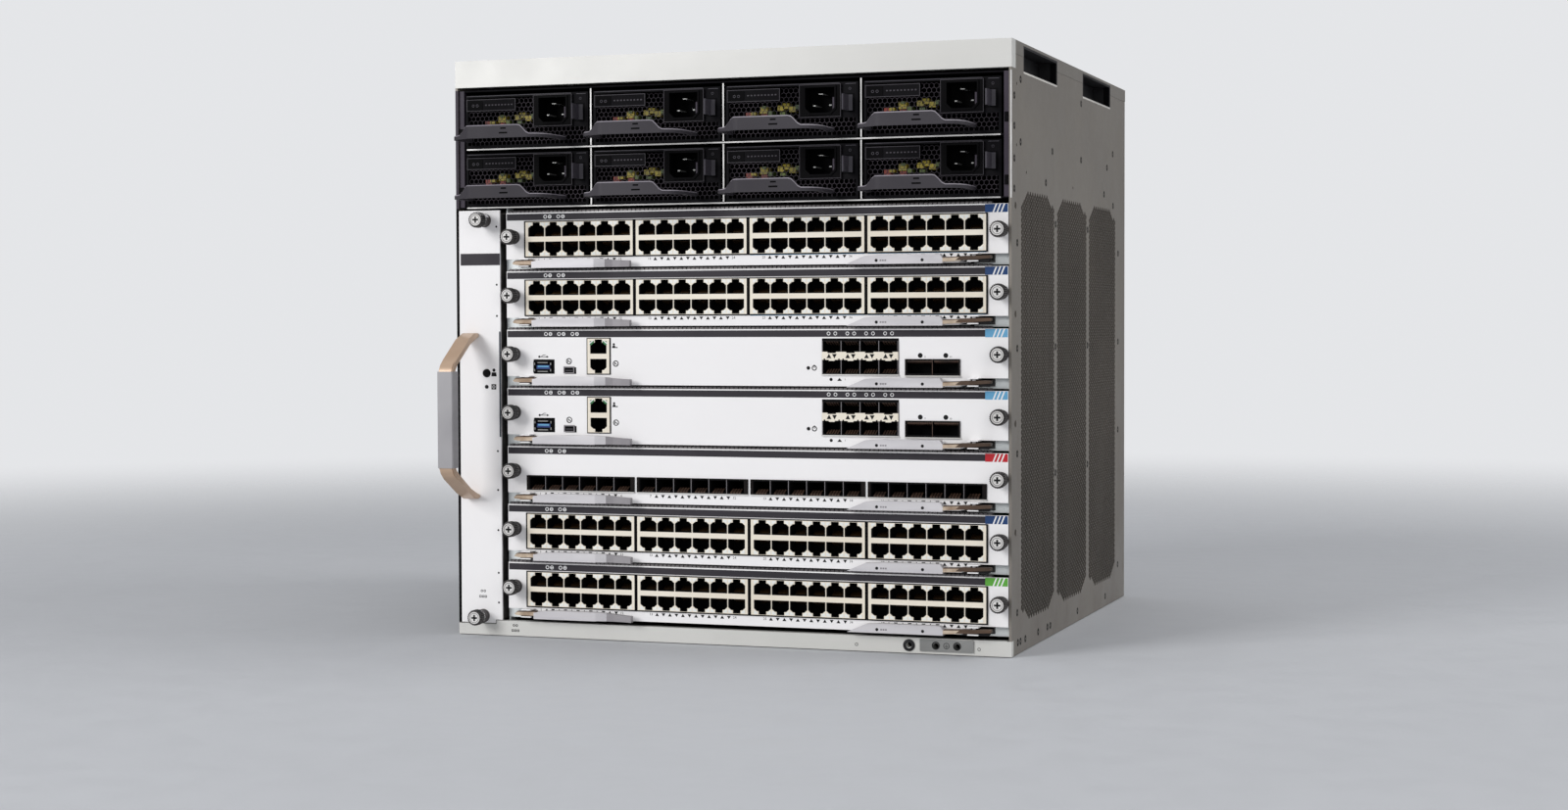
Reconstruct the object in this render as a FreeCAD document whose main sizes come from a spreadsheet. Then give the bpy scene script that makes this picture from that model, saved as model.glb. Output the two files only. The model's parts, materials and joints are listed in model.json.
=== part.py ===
import math
import os

import FreeCAD
import Part
import Sketcher

# Modular chassis switch, ten rack units high: a sheet-metal chassis with eight power supplies
# in two rows, seven horizontal card slots below them and one tall fan tray at the left.
# Frame: millimetres, X to the right, Y from front to back, Z up. The origin is the middle of
# the flat underside. Cards are drawn once with Z = 0 at a card's top edge, power supplies once
# with X = 0 and Z = 0 at the middle of a module's underside, and each is then placed by links.

doc = FreeCAD.newDocument("modular_chassis_switch")
V = FreeCAD.Vector

# ---------------------------------------------------------------- driving dimensions

SIZES = [
    ("ChassisWidth", 439.4, "outer width"),
    ("ChassisHeight", 442.3, "outer height, ten rack units less a running gap"),
    ("ChassisDepth", 414, "depth of the sheet-metal box"),
    ("PanelThickness", 1.9, "side panels"),
    ("SheetThickness", 1.5, "top cover, base, rear panel and face plates"),
    ("ThinSheet", 1.2, "card trays, shelves and inner walls"),
    ("CoverLap", 10, "depth of the top cover's side flanges"),
    ("SeamGap", 0.2, "seam between cover flange and side panel"),
    ("BezelHeight", 20.5, "top bezel"),
    ("BezelDepth", 12, "return flanges of both bezels"),
    ("FrameTop", 22.6, "top of the power bay below the chassis top"),
    ("BayPitch", 107, "power supply columns"),
    ("RowPitch", 44.8, "power supply rows"),
    ("BayColumns", 4, "power supplies side by side"),
    ("FrontInset", 2, "shelf edges behind the chassis front"),
    ("CageDepth", 374, "front of the chassis to the backplane"),
    ("BackplaneThickness", 4, "backplane board"),
    ("FirstCard", 117.3, "top of the first card below the chassis top"),
    ("SlotPitch", 44.65, "card slots"),
    ("CardHeight", 42, "card face plate"),
    ("CardLeft", 42.5, "card face plate's left edge from the chassis' left side"),
    ("CardRight", 2.4, "card face plate's right edge from the chassis' right side"),
    ("CardReach", 370, "chassis front to the rear of a card tray"),
    ("TrayLeft", 52, "card tray's left edge from the chassis' left side"),
    ("TrayRight", 14.9, "card tray's right edge from the chassis' right side"),
    ("TrayNeck", 14, "extra side set-back of the tray's front, room for the claws"),
    ("NeckDepth", 10.5, "depth of that set-back"),
    ("TrayWall", 11, "tray side walls"),
    ("Clearance", 0.3, "running gap of what slides"),
    ("WallLeft", 39, "fan bay wall's left face from the chassis' left side"),
    ("LedgeReach", 27.5, "card ledges from the wall that carries them"),
    ("LugDepth", 8, "claw lugs behind the chassis front"),
    ("LugWidth", 10.5, "claw lugs"),
    ("LugHeight", 7.5, "claw lugs"),
    ("PortTop", 7.2, "port blocks below the card's top"),
    ("PortBlockHeight", 26.2, "port blocks with two rows"),
    ("PortBlockWidth", 88.6, "port blocks"),
    ("PortBlockPitch", 91.1, "port blocks along a card"),
    ("PortBlockLeft", 59, "first port block from the chassis' left side"),
    ("PortBlockDepth", 26, "port blocks, front to back"),
    ("PortPitch", 14.15, "ports along a block"),
    ("PortWidth", 12.6, "port opening"),
    ("PortHeight", 10.4, "port opening"),
    ("PortReach", 12, "depth of a port"),
    ("PortColumns", 6, "ports side by side in a block"),
    ("MidBar", 4.8, "bar between the two rows of ports"),
    ("CageHeight", 11, "pluggable optic cages"),
    ("BoardThickness", 1.6, "circuit boards"),
    ("BoardInset", 6, "circuit boards inside the tray"),
    ("PinLeft", 61, "left lever's pin from the chassis' left side"),
    ("PinRight", 26.4, "right lever's pin from the chassis' right side"),
    ("PinOut", 5, "lever pins in front of the face plate"),
    ("PinRadius", 1.4, "lever pins"),
    ("PinFit", 0.08, "running fit of a lever on its pin"),
    ("LeverTop", 35.2, "levers below the card's top"),
    ("LeverHeight", 6.2, "levers"),
    ("LeverLeftEnd", 149, "left lever's free end from the chassis' left side"),
    ("LeverRightEnd", 322, "right lever's free end from the chassis' left side"),
    ("ClawReach", 12, "claws beyond the pin"),
    ("EarThickness", 0.8, "hinge ears on the card face"),
    ("CaptiveLeft", 48.7, "left captive screw from the chassis' left side"),
    ("CaptiveRight", 7.4, "right captive screw from the chassis' right side"),
    ("CaptiveDrop", 18.6, "captive screws below the card's top"),
    ("CaptiveRadius", 5.4, "captive screw heads"),
    ("CaptiveOut", 12.5, "captive screws in front of the face plate"),
    ("ModuleWidth", 102.6, "power supply"),
    ("ModuleHeight", 40.6, "power supply"),
    ("ModuleReach", 366, "power supply, front to back"),
    ("InletLeft", 61.5, "mains inlet from the module's left side"),
    ("InletWidth", 25, "mains inlet recess"),
    ("InletHeight", 21, "mains inlet recess"),
    ("InletDrop", 2.5, "mains inlet below the module's top"),
    ("InletDepth", 15, "mains inlet recess"),
    ("HandleOut", 42, "power supply handle in front of the module"),
    ("HandleDrop", 25, "top of the handle's grip below the module's top"),
    ("HandleGrip", 9.6, "height of the handle's grip"),
    ("HandleStrip", 2.6, "handle's bent strip"),
    ("LatchLeft", 93.4, "release latch from the module's left side"),
    ("LatchHeight", 11.5, "release latch"),
    ("LatchOut", 11, "release latch in front of the module"),
    ("FanFaceWidth", 34.7, "fan tray face plate"),
    ("FanFaceLeft", 2.3, "fan tray face plate from the chassis' side"),
    ("FanFaceTop", 115, "fan tray face plate below the chassis top"),
    ("FanFaceBottom", 9.3, "fan tray face plate above the underside"),
    ("FanBoxInset", 2.2, "fan tray box inside its face plate"),
    ("FanReach", 371, "fan tray, front to back"),
    ("GripOut", 47, "fan tray handle in front of the face plate"),
    ("GripWidth", 13, "fan tray handle"),
    ("GripTop", 237, "upper end of the handle's grip below the chassis top"),
    ("GripBottom", 312, "lower end of the handle's grip below the chassis top"),
    ("GripFoot", 24, "handle's feet beyond its grip"),
    ("ButtonDrop", 240, "locator button below the chassis top"),
    ("ButtonRadius", 3, "locator button"),
    ("VentTop", 105, "side vents below the chassis top"),
    ("VentBottom", 16.3, "side vents above the underside"),
    ("VentFront", 28.5, "first side vent behind the chassis front"),
    ("VentWidth", 107.5, "one side vent field"),
    ("VentPitch", 117.5, "side vent fields"),
    ("VentHole", 34, "vent openings, across flats"),
    ("VentHolePitch", 40.5, "vent openings"),
    ("HoldFront", 36, "hand holds behind the chassis front"),
    ("HoldPitch", 203, "hand holds along a side"),
    ("HoldLength", 110, "hand holds"),
    ("HoldHeight", 20, "hand holds"),
    ("HoldDrop", 2, "hand holds below the chassis top"),
    ("HoldDepth", 16, "hand hold cups"),
    ("CupWall", 1.6, "hand hold cups"),
    ("BottomBezel", 11.4, "bottom bezel height"),
    ("JackFromRight", 76.4, "wrist strap jack from the chassis' right side"),
    ("JackRadius", 2.05, "wrist strap jack bore"),
    ("GroundFromRight", 48, "ground pad's middle from the chassis' right side"),
    ("GroundSpacing", 15.9, "ground pad's threaded holes"),
    ("GroundHole", 2.1, "ground pad's threaded holes, radius"),
    ("GroundNut", 5.6, "ground pad's nuts, across flats"),
    ("RackHoleFront", 11.5, "bracket holes behind the chassis front"),
    ("RackHoleTop", 118.4, "uppermost bracket hole below the chassis top"),
    ("RackHolePitch", 78.4, "bracket holes"),
    ("RackHoleRadius", 2.6, "bracket holes"),
]

dims = doc.addObject("Spreadsheet::Sheet", "Dims")
for row, (alias, number, note) in enumerate(SIZES, start=1):
    dims.set("A%d" % row, note)
    dims.set("B%d" % row, str(number))
    dims.setAlias("B%d" % row, alias)
doc.recompute()


def d(text):
    """Expression with every word that is a size read from the sheet."""
    for alias in sorted((entry[0] for entry in SIZES), key=len, reverse=True):
        text = text.replace("{" + alias + "}", "Dims." + alias)
    return text


def now(text):
    """Present value of an expression."""
    return float(dims.evalExpression(text))


# Datums used by many expressions.
LEFT = d("(-{ChassisWidth} / 2)")
RIGHT = d("({ChassisWidth} / 2)")
FRONT = d("(-{ChassisDepth} / 2)")
TOP = d("{ChassisHeight}")
CAGE_END = d("(-{ChassisDepth} / 2 + {CageDepth})")
FRAME_BASE = d("({ChassisHeight} - {FrameTop} - {ThinSheet} - 2 * {RowPitch})")
ROOF_TOP = FRAME_BASE
MODULE_LEFT = d("(-{ModuleWidth} / 2)")
BOARD_TOP = d("(-{PortTop} - {PortBlockHeight})")
TRAY_BOTTOM = d("(-{CardHeight} + 0.5)")
PIN_Y = d("(-{ChassisDepth} / 2 - {PinOut})")
FAN_LEFT = d("(-{ChassisWidth} / 2 + {FanFaceLeft})")

# ---------------------------------------------------------------- drawing helpers

PLANES = {"XY": "XY_Plane", "XZ": "XZ_Plane", "YZ": "YZ_Plane"}


def new_body(label):
    body = doc.addObject("PartDesign::Body", label)
    body.Label = label
    return body


def new_sketch(body, plane, offset="0"):
    """Sketch on one of the body's own planes. XZ looks along +Y and its offset runs to -Y."""
    sketch = body.newObject("Sketcher::SketchObject", body.Name + "_sketch")
    role = PLANES[plane]
    support = [item for item in body.Origin.OriginFeatures if item.Role == role][0]
    sketch.AttachmentSupport = [(support, "")]
    sketch.MapMode = "FlatFace"
    sketch.setExpression("AttachmentOffset.Base.z", offset)
    return sketch


def pin_points(sketch, places):
    """Tie points of the sketch to expressions: places are (geometry, position, x, y)."""
    rules, texts = [], []
    for geometry, position, x, y in places:
        for kind, text in (("DistanceX", x), ("DistanceY", y)):
            rules.append(Sketcher.Constraint(kind, -1, 1, geometry, position, now(text)))
            texts.append(text)
    for index, text in zip(sketch.addConstraint(rules), texts):
        sketch.setExpression("Constraints[%d]" % index, text)


def outline(sketch, points):
    """Closed run of straight lines through points given as pairs of expressions."""
    places = [V(now(x), now(y), 0) for x, y in points]
    first = sketch.GeometryCount
    count = len(points)
    sketch.addGeometry([Part.LineSegment(places[i], places[(i + 1) % count])
                        for i in range(count)], False)
    sketch.addConstraint([Sketcher.Constraint("Coincident", first + i, 2,
                                              first + (i + 1) % count, 1)
                          for i in range(count)])
    pin_points(sketch, [(first + i, 1, x, y) for i, (x, y) in enumerate(points)])


def rectangle(sketch, x0, y0, x1, y1):
    outline(sketch, [(x0, y0), (x1, y0), (x1, y1), (x0, y1)])


def circle(sketch, x, y, radius):
    index = sketch.addGeometry(
        Part.Circle(V(now(x), now(y), 0), V(0, 0, 1), now(radius)), False)
    pin_points(sketch, [(index, 3, x, y)])
    rule = sketch.addConstraint(Sketcher.Constraint("Radius", index, now(radius)))
    sketch.setExpression("Constraints[%d]" % rule, radius)


def polygon(sketch, x, y, radius, sides, first=0):
    """Even polygon with its corners at radius; first is the angle of one corner."""
    corners = []
    for step in range(sides):
        angle = math.radians(first + 360 * step / sides)
        corners.append(("%s + (%s) * %.6f" % (x, radius, math.cos(angle)),
                        "%s + (%s) * %.6f" % (y, radius, math.sin(angle))))
    outline(sketch, corners)


def pad(body, sketch, length, backwards=False):
    feature = body.newObject("PartDesign::Pad", body.Name + "_pad")
    feature.Profile = sketch
    feature.Refine = False
    feature.Reversed = backwards
    feature.setExpression("Length", length)
    sketch.Visibility = False
    return feature


def pocket(body, sketch, length, backwards=False):
    feature = body.newObject("PartDesign::Pocket", body.Name + "_pocket")
    feature.Profile = sketch
    feature.Refine = False
    feature.Reversed = backwards
    feature.setExpression("Length", length)
    sketch.Visibility = False
    return feature


def slab(body, x0, x1, y0, y1, z0, z1):
    """Upright or flat sheet given by its six faces."""
    sketch = new_sketch(body, "XY", z0)
    rectangle(sketch, x0, y0, x1, y1)
    return pad(body, sketch, "(%s) - (%s)" % (z1, z0))


def front_pad(body, y, depth, draw):
    """Pad of a front outline from y backwards by depth."""
    sketch = new_sketch(body, "XZ", "-(%s)" % y)
    draw(sketch)
    return pad(body, sketch, depth, backwards=True)


def front_pocket(body, y, depth, draw):
    """Cut of a front outline from y backwards by depth."""
    sketch = new_sketch(body, "XZ", "-(%s)" % y)
    draw(sketch)
    return pocket(body, sketch, depth)


def row_of(body, feature, axis, pitch, count):
    """Repeat a feature along one of the body's axes."""
    pattern = body.newObject("PartDesign::LinearPattern", body.Name + "_row")
    pattern.Originals = [feature]
    role = axis + "_Axis"
    line = [item for item in body.Origin.OriginFeatures if item.Role == role][0]
    pattern.Direction = (line, [""])
    pattern.Refine = False
    pattern.setExpression("Occurrences", count)
    pattern.setExpression("Length", "(%s) * ((%s) - 1)" % (pitch, count))
    body.Tip = pattern
    return pattern


def grid_of(body, feature, steps):
    """Repeat a feature along several axes at once: steps are (axis, pitch, count)."""
    grid = body.newObject("PartDesign::MultiTransform", body.Name + "_grid")
    grid.Originals = [feature]
    grid.Refine = False
    parts = []
    for axis, pitch, count in steps:
        step = body.newObject("PartDesign::LinearPattern", body.Name + "_step")
        line = [item for item in body.Origin.OriginFeatures if item.Role == axis + "_Axis"][0]
        step.Direction = (line, [""])
        step.setExpression("Occurrences", count)
        step.setExpression("Length", "(%s) * ((%s) - 1)" % (pitch, count))
        parts.append(step)
    grid.Transformations = parts
    body.Tip = grid
    return grid


NODES = []


def keep(item, label):
    """Name a finished sub-part and note it for export."""
    item.Label = label
    NODES.append(item)
    return item


def place(master, label, x="0", y="0", z="0"):
    """One more instance of a piece that the product has several of."""
    link = doc.addObject("App::Link", label)
    link.LinkedObject = master
    link.setExpression("Placement.Base.x", x)
    link.setExpression("Placement.Base.y", y)
    link.setExpression("Placement.Base.z", z)
    return keep(link, label)


# ---------------------------------------------------------------- chassis sheet metal

def vent_hexagons(body, feature_side, mirror):
    """Three fields of hexagonal openings through a side panel, from one pair of hexagons."""
    sketch = new_sketch(body, "YZ", feature_side)
    across = d("{VentHole}")
    for across_steps, up_steps in ((0, 0), (0.5, 0.866)):
        middle_y = d("%s + {VentFront} + {VentHolePitch} * (0.5 + %s)" % (FRONT, across_steps))
        middle_z = d("{VentBottom} + {VentHolePitch} * (0.55 + %s)" % up_steps)
        hexagon(sketch, middle_y, middle_z, across)
    cut = pocket(body, sketch, d("3 * {PanelThickness}"), backwards=mirror)
    columns = d("floor({VentWidth} / {VentHolePitch} - 0.5)")
    rows = d("floor(({ChassisHeight} - {VentTop} - {VentBottom}) / (1.732 * {VentHolePitch}))")
    grid_of(body, cut, [
        ("Y", d("{VentHolePitch}"), columns),
        ("Z", d("1.732 * {VentHolePitch}"), rows),
        ("Y", d("{VentPitch}"), "3"),
    ])


def hexagon(sketch, x, y, across):
    """Hexagon with one corner above and one below its middle."""
    polygon(sketch, x, y, "%s / 1.732" % across, 6, first=90)


def hand_hold_cuts(body, x, depth, grow, backwards):
    """The two hand hold openings, cut across a side; grow widens them all round."""
    sketch = new_sketch(body, "YZ", x)
    for step in (0, 1):
        front = d("%s + {HoldFront} + %d * {HoldPitch} - %s" % (FRONT, step, grow))
        rectangle(sketch, front, d("%s - {HoldDrop} - {HoldHeight} - %s" % (TOP, grow)),
                  d("%s + {HoldLength} + 2 * %s" % (front, grow)),
                  d("%s - {HoldDrop} + %s" % (TOP, grow)))
    return pocket(body, sketch, depth, backwards)


def bracket_holes(body, x, depth, backwards):
    sketch = new_sketch(body, "YZ", x)
    for step in range(4):
        circle(sketch, d("%s + {RackHoleFront}" % FRONT),
               d("%s - {RackHoleTop} - %d * {RackHolePitch}" % (TOP, step)),
               d("{RackHoleRadius}"))
    return pocket(body, sketch, depth, backwards)


def side_panel(label, sign):
    """Painted side: outer sheet with a joggled top strip behind the cover's flange."""
    body = new_body(label)
    wall = d("{PanelThickness}")
    outer = "%d * %s" % (sign, RIGHT)
    inner = "%d * (%s - %s)" % (sign, RIGHT, wall)
    deep = "%d * (%s - 2 * %s)" % (sign, RIGHT, wall)
    seam = d("%s - {CoverLap} - {SeamGap}" % TOP)
    rim = d("%s - {SheetThickness}" % TOP)
    front_pad(body, FRONT, d("{ChassisDepth}"), lambda sketch: outline(sketch, [
        (outer, "0"), (outer, seam), (inner, seam), (inner, rim),
        (deep, rim), (deep, d("%s - {PanelThickness}" % seam)),
        (inner, d("%s - {PanelThickness}" % seam)), (inner, "0")]))
    hand_hold_cuts(body, outer, d("3 * {PanelThickness}"), "0", backwards=sign < 0)
    bracket_holes(body, outer, d("3 * {PanelThickness}"), backwards=sign < 0)
    vent_hexagons(body, outer, mirror=sign < 0)
    return keep(body, label)


def slot_top(slot):
    return d("(%s - {FirstCard} - %d * {SlotPitch})" % (TOP, slot))


def card_ledges():
    """Shelves under both edges of every card, as one group of fourteen."""
    wall = d("(%s + {WallLeft} + {ThinSheet})" % LEFT)
    panel = d("(%s - {PanelThickness})" % RIGHT)
    group = doc.addObject("Part::Compound", "card_ledges")
    group.Links = [ledge(slot, side, edge, lug) for slot in range(7) for side, edge, lug in (
        (1, wall, "{LugWidth}"), (-1, panel, "({LugWidth} + 1.5)"))]
    return keep(group, "card_ledges")


def ledge(slot, side, edge, lug):
    """Shelf under one edge of a card, with the upright lug that the card's claw works on."""
    body = new_body("ledge")
    top = d("%s + %s - {Clearance}" % (slot_top(slot), TRAY_BOTTOM))
    under = d("%s - {SheetThickness}" % top)
    start = d("%s + {LugDepth}" % FRONT)
    front_pad(body, start, d("{CardReach} - {LugDepth}"), lambda sketch: rectangle(
        sketch, edge, under, d("%s + %d * {LedgeReach}" % (edge, side)), top))
    front_pad(body, start, d("{SheetThickness}"), lambda sketch: rectangle(
        sketch, edge, under, d("%s + %d * %s" % (edge, side, lug)),
        d("%s + {LugHeight} - {ThinSheet}" % top)))
    return body


def top_cover():
    """Flat lid with two side flanges; the hand holds are notched out of the flanges."""
    body = new_body("top_cover")
    low = d("%s - {CoverLap}" % TOP)
    under = d("%s - {SheetThickness}" % TOP)
    wall = d("{PanelThickness}")
    front_pad(body, d("%s + {SheetThickness}" % FRONT), d("{ChassisDepth} - {SheetThickness}"),
              lambda sketch: outline(sketch, [
                  (LEFT, low), ("%s + %s" % (LEFT, wall), low), ("%s + %s" % (LEFT, wall), under),
                  ("%s - %s" % (RIGHT, wall), under), ("%s - %s" % (RIGHT, wall), low),
                  (RIGHT, low), (RIGHT, TOP), (LEFT, TOP)]))
    hand_hold_cuts(body, RIGHT, d("2 * {PanelThickness}"), "0", backwards=False)
    hand_hold_cuts(body, LEFT, d("2 * {PanelThickness}"), "0", backwards=True)
    return keep(body, "top_cover")


def base_pan():
    """Bottom sheet with an upturned flange along each side."""
    body = new_body("base_pan")
    wall = d("{PanelThickness}")
    left, right = "%s + %s" % (LEFT, wall), "%s - %s" % (RIGHT, wall)
    sheet = d("{SheetThickness}")
    rise = d("{BottomBezel} - 3")
    back = d("{ChassisDepth} - {SheetThickness}")
    front_pad(body, FRONT, back, lambda sketch: outline(sketch, [
        (left, "0"), (right, "0"), (right, rise), ("%s - %s" % (right, sheet), rise),
        ("%s - %s" % (right, sheet), sheet), ("%s + %s" % (left, sheet), sheet),
        ("%s + %s" % (left, sheet), rise), (left, rise)]))
    # flanges start behind the face plates
    front_pocket(body, d("%s - 1" % FRONT), d("{BezelDepth} + 1"), lambda sketch: rectangle(
        sketch, "%s - 1" % left, sheet, "%s + 1" % right, "%s + 1" % rise))
    return keep(body, "base_pan")


def rear_panel():
    body = new_body("rear_panel")
    wall = d("{PanelThickness}")
    front_pad(body, d("-%s - {SheetThickness}" % FRONT), d("{SheetThickness}"),
              lambda sketch: outline(sketch, [
                  ("%s + %s" % (LEFT, wall), "0"), ("%s - %s" % (RIGHT, wall), "0"),
                  ("%s - %s" % (RIGHT, wall), d("%s - {CoverLap} - 4" % TOP)),
                  ("%s - 3 * %s" % (RIGHT, wall), d("%s - {CoverLap} - 4" % TOP)),
                  ("%s - 3 * %s" % (RIGHT, wall), d("%s - {SheetThickness}" % TOP)),
                  ("%s + 3 * %s" % (LEFT, wall), d("%s - {SheetThickness}" % TOP)),
                  ("%s + 3 * %s" % (LEFT, wall), d("%s - {CoverLap} - 4" % TOP)),
                  ("%s + %s" % (LEFT, wall), d("%s - {CoverLap} - 4" % TOP))]))
    return keep(body, "rear_panel")


def top_bezel():
    """Folded front band: face plate with a top and a bottom return."""
    body = new_body("top_bezel")
    sheet = d("{SheetThickness}")
    low = d("%s - {BezelHeight}" % TOP)
    back = d("%s + {BezelDepth}" % FRONT)
    under = d("%s - {SheetThickness}" % TOP)
    sketch = new_sketch(body, "YZ", d("-%s + {PanelThickness}" % RIGHT))
    outline(sketch, [(FRONT, low), (back, low), (back, "%s + %s" % (low, sheet)),
                     ("%s + %s" % (FRONT, sheet), "%s + %s" % (low, sheet)),
                     ("%s + %s" % (FRONT, sheet), "%s - %s" % (under, sheet)),
                     (back, "%s - %s" % (under, sheet)), (back, under),
                     ("%s + %s" % (FRONT, sheet), under), ("%s + %s" % (FRONT, sheet), TOP),
                     (FRONT, TOP)])
    pad(body, sketch, d("{ChassisWidth} - 2 * {PanelThickness}"))
    joggle = d("%s - {CoverLap} - {SeamGap} - {PanelThickness} - 0.5" % TOP)
    front_pocket(body, d("%s - 1" % FRONT), d("{BezelDepth} + 2"), lambda sketch: [
        rectangle(sketch, "%s - 2.2 * %s" % (RIGHT, d("{PanelThickness}")), joggle, RIGHT, TOP),
        rectangle(sketch, LEFT, joggle, "%s + 2.2 * %s" % (LEFT, d("{PanelThickness}")), TOP)])
    return keep(body, "top_bezel")


def bottom_bezel():
    """Folded band under the card cage, bored for the wrist strap jack and the ground screws."""
    body = new_body("bottom_bezel")
    sheet = d("{SheetThickness}")
    back = d("%s + {LugDepth} - 1" % FRONT)
    start = d("%s + {FanFaceLeft} + {FanFaceWidth} - 5.2" % LEFT)
    sketch = new_sketch(body, "YZ", start)
    outline(sketch, [(FRONT, sheet), ("%s + %s" % (FRONT, sheet), sheet),
                     ("%s + %s" % (FRONT, sheet), d("{BottomBezel} - {SheetThickness}")),
                     (back, d("{BottomBezel} - {SheetThickness}")), (back, d("{BottomBezel}")),
                     (FRONT, d("{BottomBezel}"))])
    pad(body, sketch, d("%s - {PanelThickness} - {SheetThickness} - 0.2 - (%s)" % (RIGHT, start)))
    # low strip that passes under the fan tray's face plate
    slab(body, d("%s + {PanelThickness} + {SheetThickness} + 0.2" % LEFT), d("%s + 1" % start),
         FRONT, d("%s + {SheetThickness}" % FRONT), sheet, d("{FanFaceBottom} - 0.7"))
    front_pad(body, d("%s + {SheetThickness}" % FRONT), d("{LugDepth}"),
              lambda sketch: polygon(sketch, jack_x, jack_z, d("2.42 * {JackRadius}"), 6))
    front_pocket(body, d("%s - 1" % FRONT), d("{BezelDepth} + 4"), lambda sketch: circle(
        sketch, jack_x, jack_z, d("{JackRadius}")))
    front_pocket(body, d("%s - 1" % FRONT), d("{SheetThickness} + 2"), lambda sketch: [
        hexagon(sketch, d("%s + %s * {GroundSpacing} / 2" % (ground_x, side)), jack_z,
                d("({GroundNut} + 0.2)")) for side in (-1, 1)])
    return keep(body, "bottom_bezel")


jack_x = d("(%s - {JackFromRight})" % RIGHT)
jack_z = d("({BottomBezel} / 2 + 0.5)")
ground_x = d("(%s - {GroundFromRight})" % RIGHT)


def ground_pad():
    """Bare metal pad with two nuts that reach through the bezel."""
    body = new_body("ground_pad")
    front_pad(body, d("%s - {ThinSheet}" % FRONT), d("{ThinSheet}"), lambda sketch: rectangle(
        sketch, d("%s - 20" % ground_x), d("{SheetThickness} + 0.6"),
        d("%s + 20" % ground_x), d("{BottomBezel} - 0.6")))
    front_pad(body, FRONT, d("{BezelDepth} / 2"), lambda sketch: [
        hexagon(sketch, d("%s + %s * {GroundSpacing} / 2" % (ground_x, side)), jack_z,
                d("{GroundNut}")) for side in (-1, 1)])
    front_pocket(body, d("%s - {ThinSheet} - 1" % FRONT), d("{BezelDepth} + 4"),
                 lambda sketch: [circle(
                     sketch, d("%s + %s * {GroundSpacing} / 2" % (ground_x, side)), jack_z,
                     d("{GroundHole}")) for side in (-1, 1)])
    return keep(body, "ground_pad")


def power_bay_frame():
    """Welded egg crate round eight open bays; its lowest sheet is the card cage's roof."""
    body = new_body("power_bay_frame")
    sheet = d("{ThinSheet}")
    start = d("%s + {FrontInset}" % FRONT)
    depth = d("{CageDepth} - {FrontInset}")
    inner = d("(%s - {PanelThickness})" % RIGHT)
    top = d("%s - {FrameTop}" % TOP)
    base = d("(%s + {ThinSheet})" % ROOF_TOP)

    def draw(sketch):
        rectangle(sketch, "-%s" % inner, ROOF_TOP, inner, top)
        for column in range(4):
            middle = d("({BayPitch} * (%s - ({BayColumns} - 1) / 2))" % column)
            for level in range(2):
                low = base if level == 0 else d("(%s + {RowPitch})" % base)
                high = d("(%s + {RowPitch} - {ThinSheet})" % low)
                if level == 1:
                    high = "%s - %s" % (top, sheet)
                rectangle(sketch, d("%s - {BayPitch} / 2 + {ThinSheet} / 2" % middle), low,
                          d("%s + {BayPitch} / 2 - {ThinSheet} / 2" % middle), high)

    front_pad(body, start, depth, draw)
    edge = d("({BayColumns} * {BayPitch} / 2 + {ThinSheet} / 2)")
    front_pocket(body, d("%s + 2 * {ThinSheet}" % start), d("{CageDepth}"), lambda sketch: [
        rectangle(sketch, edge, "%s + %s" % (base, sheet), "%s + 1" % inner,
                  "%s - %s" % (top, sheet)),
        rectangle(sketch, "-%s - 1" % inner, "%s + %s" % (base, sheet), "-%s" % edge,
                  "%s - %s" % (top, sheet))])
    return keep(body, "power_bay_frame")


def fan_bay_wall():
    """Perforated wall between the cards and the fan tray."""
    body = new_body("fan_bay_wall")
    left = d("%s + {WallLeft}" % LEFT)
    slab(body, left, d("%s + {ThinSheet}" % left), d("%s + {LugDepth}" % FRONT), CAGE_END,
         d("{SheetThickness}"), ROOF_TOP)
    sketch = new_sketch(body, "YZ", d("%s - 1" % left))
    low = d("%s + 10" % slot_top(6) + " - {CardHeight}")
    rectangle(sketch, d("%s + 30" % FRONT), low, d("%s + 100" % FRONT), "%s + 22" % low)
    cut = pocket(body, sketch, d("{ThinSheet} + 2"), backwards=True)
    grid_of(body, cut, [("Y", "82", d("floor(({CageDepth} - 40) / 82)")),
                        ("Z", d("{SlotPitch}"), "7")])
    return keep(body, "fan_bay_wall")


def backplane():
    """Board across the cage's rear, with a socket for each card."""
    body = new_body("backplane")
    inner = d("(%s - {PanelThickness} - {SheetThickness} - 0.2)" % RIGHT)
    slab(body, "-%s" % inner, inner, CAGE_END, d("%s + {BackplaneThickness}" % CAGE_END),
         d("{SheetThickness}"), d("%s - {FrameTop}" % TOP))
    return keep(body, "backplane")


def hand_hold_cups():
    """Four loose cups in one group."""
    cups = []
    for sign in (1, -1):
        for step in (0, 1):
            cups.append(single_cup(sign, step))
    group = doc.addObject("Part::Compound", "hand_hold_cups")
    group.Links = cups
    return keep(group, "hand_hold_cups")


def single_cup(sign, step):
    """Moulded cup: box open to the side, with a wall all round."""
    body = new_body("cup")
    wall = d("{CupWall}")
    outer = "%d * %s" % (sign, RIGHT)
    front = d("(%s + {HoldFront} + %d * {HoldPitch} + 0.1)" % (FRONT, step))
    back = d("(%s + {HoldLength} - 0.2)" % front)
    low = d("(%s - {HoldDrop} - {HoldHeight} + 0.1)" % TOP)
    high = d("(%s - {HoldDrop} - 0.1)" % TOP)
    sketch = new_sketch(body, "YZ", outer)
    rectangle(sketch, front, low, back, high)
    pad(body, sketch, d("{HoldDepth}"), backwards=sign > 0)
    sketch = new_sketch(body, "YZ", outer)
    rectangle(sketch, "%s + %s" % (front, wall), "%s + %s" % (low, wall),
              "%s - %s" % (back, wall), "%s - %s" % (high, wall))
    pocket(body, sketch, d("{HoldDepth} - {CupWall}"), backwards=sign < 0)
    return body


# ---------------------------------------------------------------- cards

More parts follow.
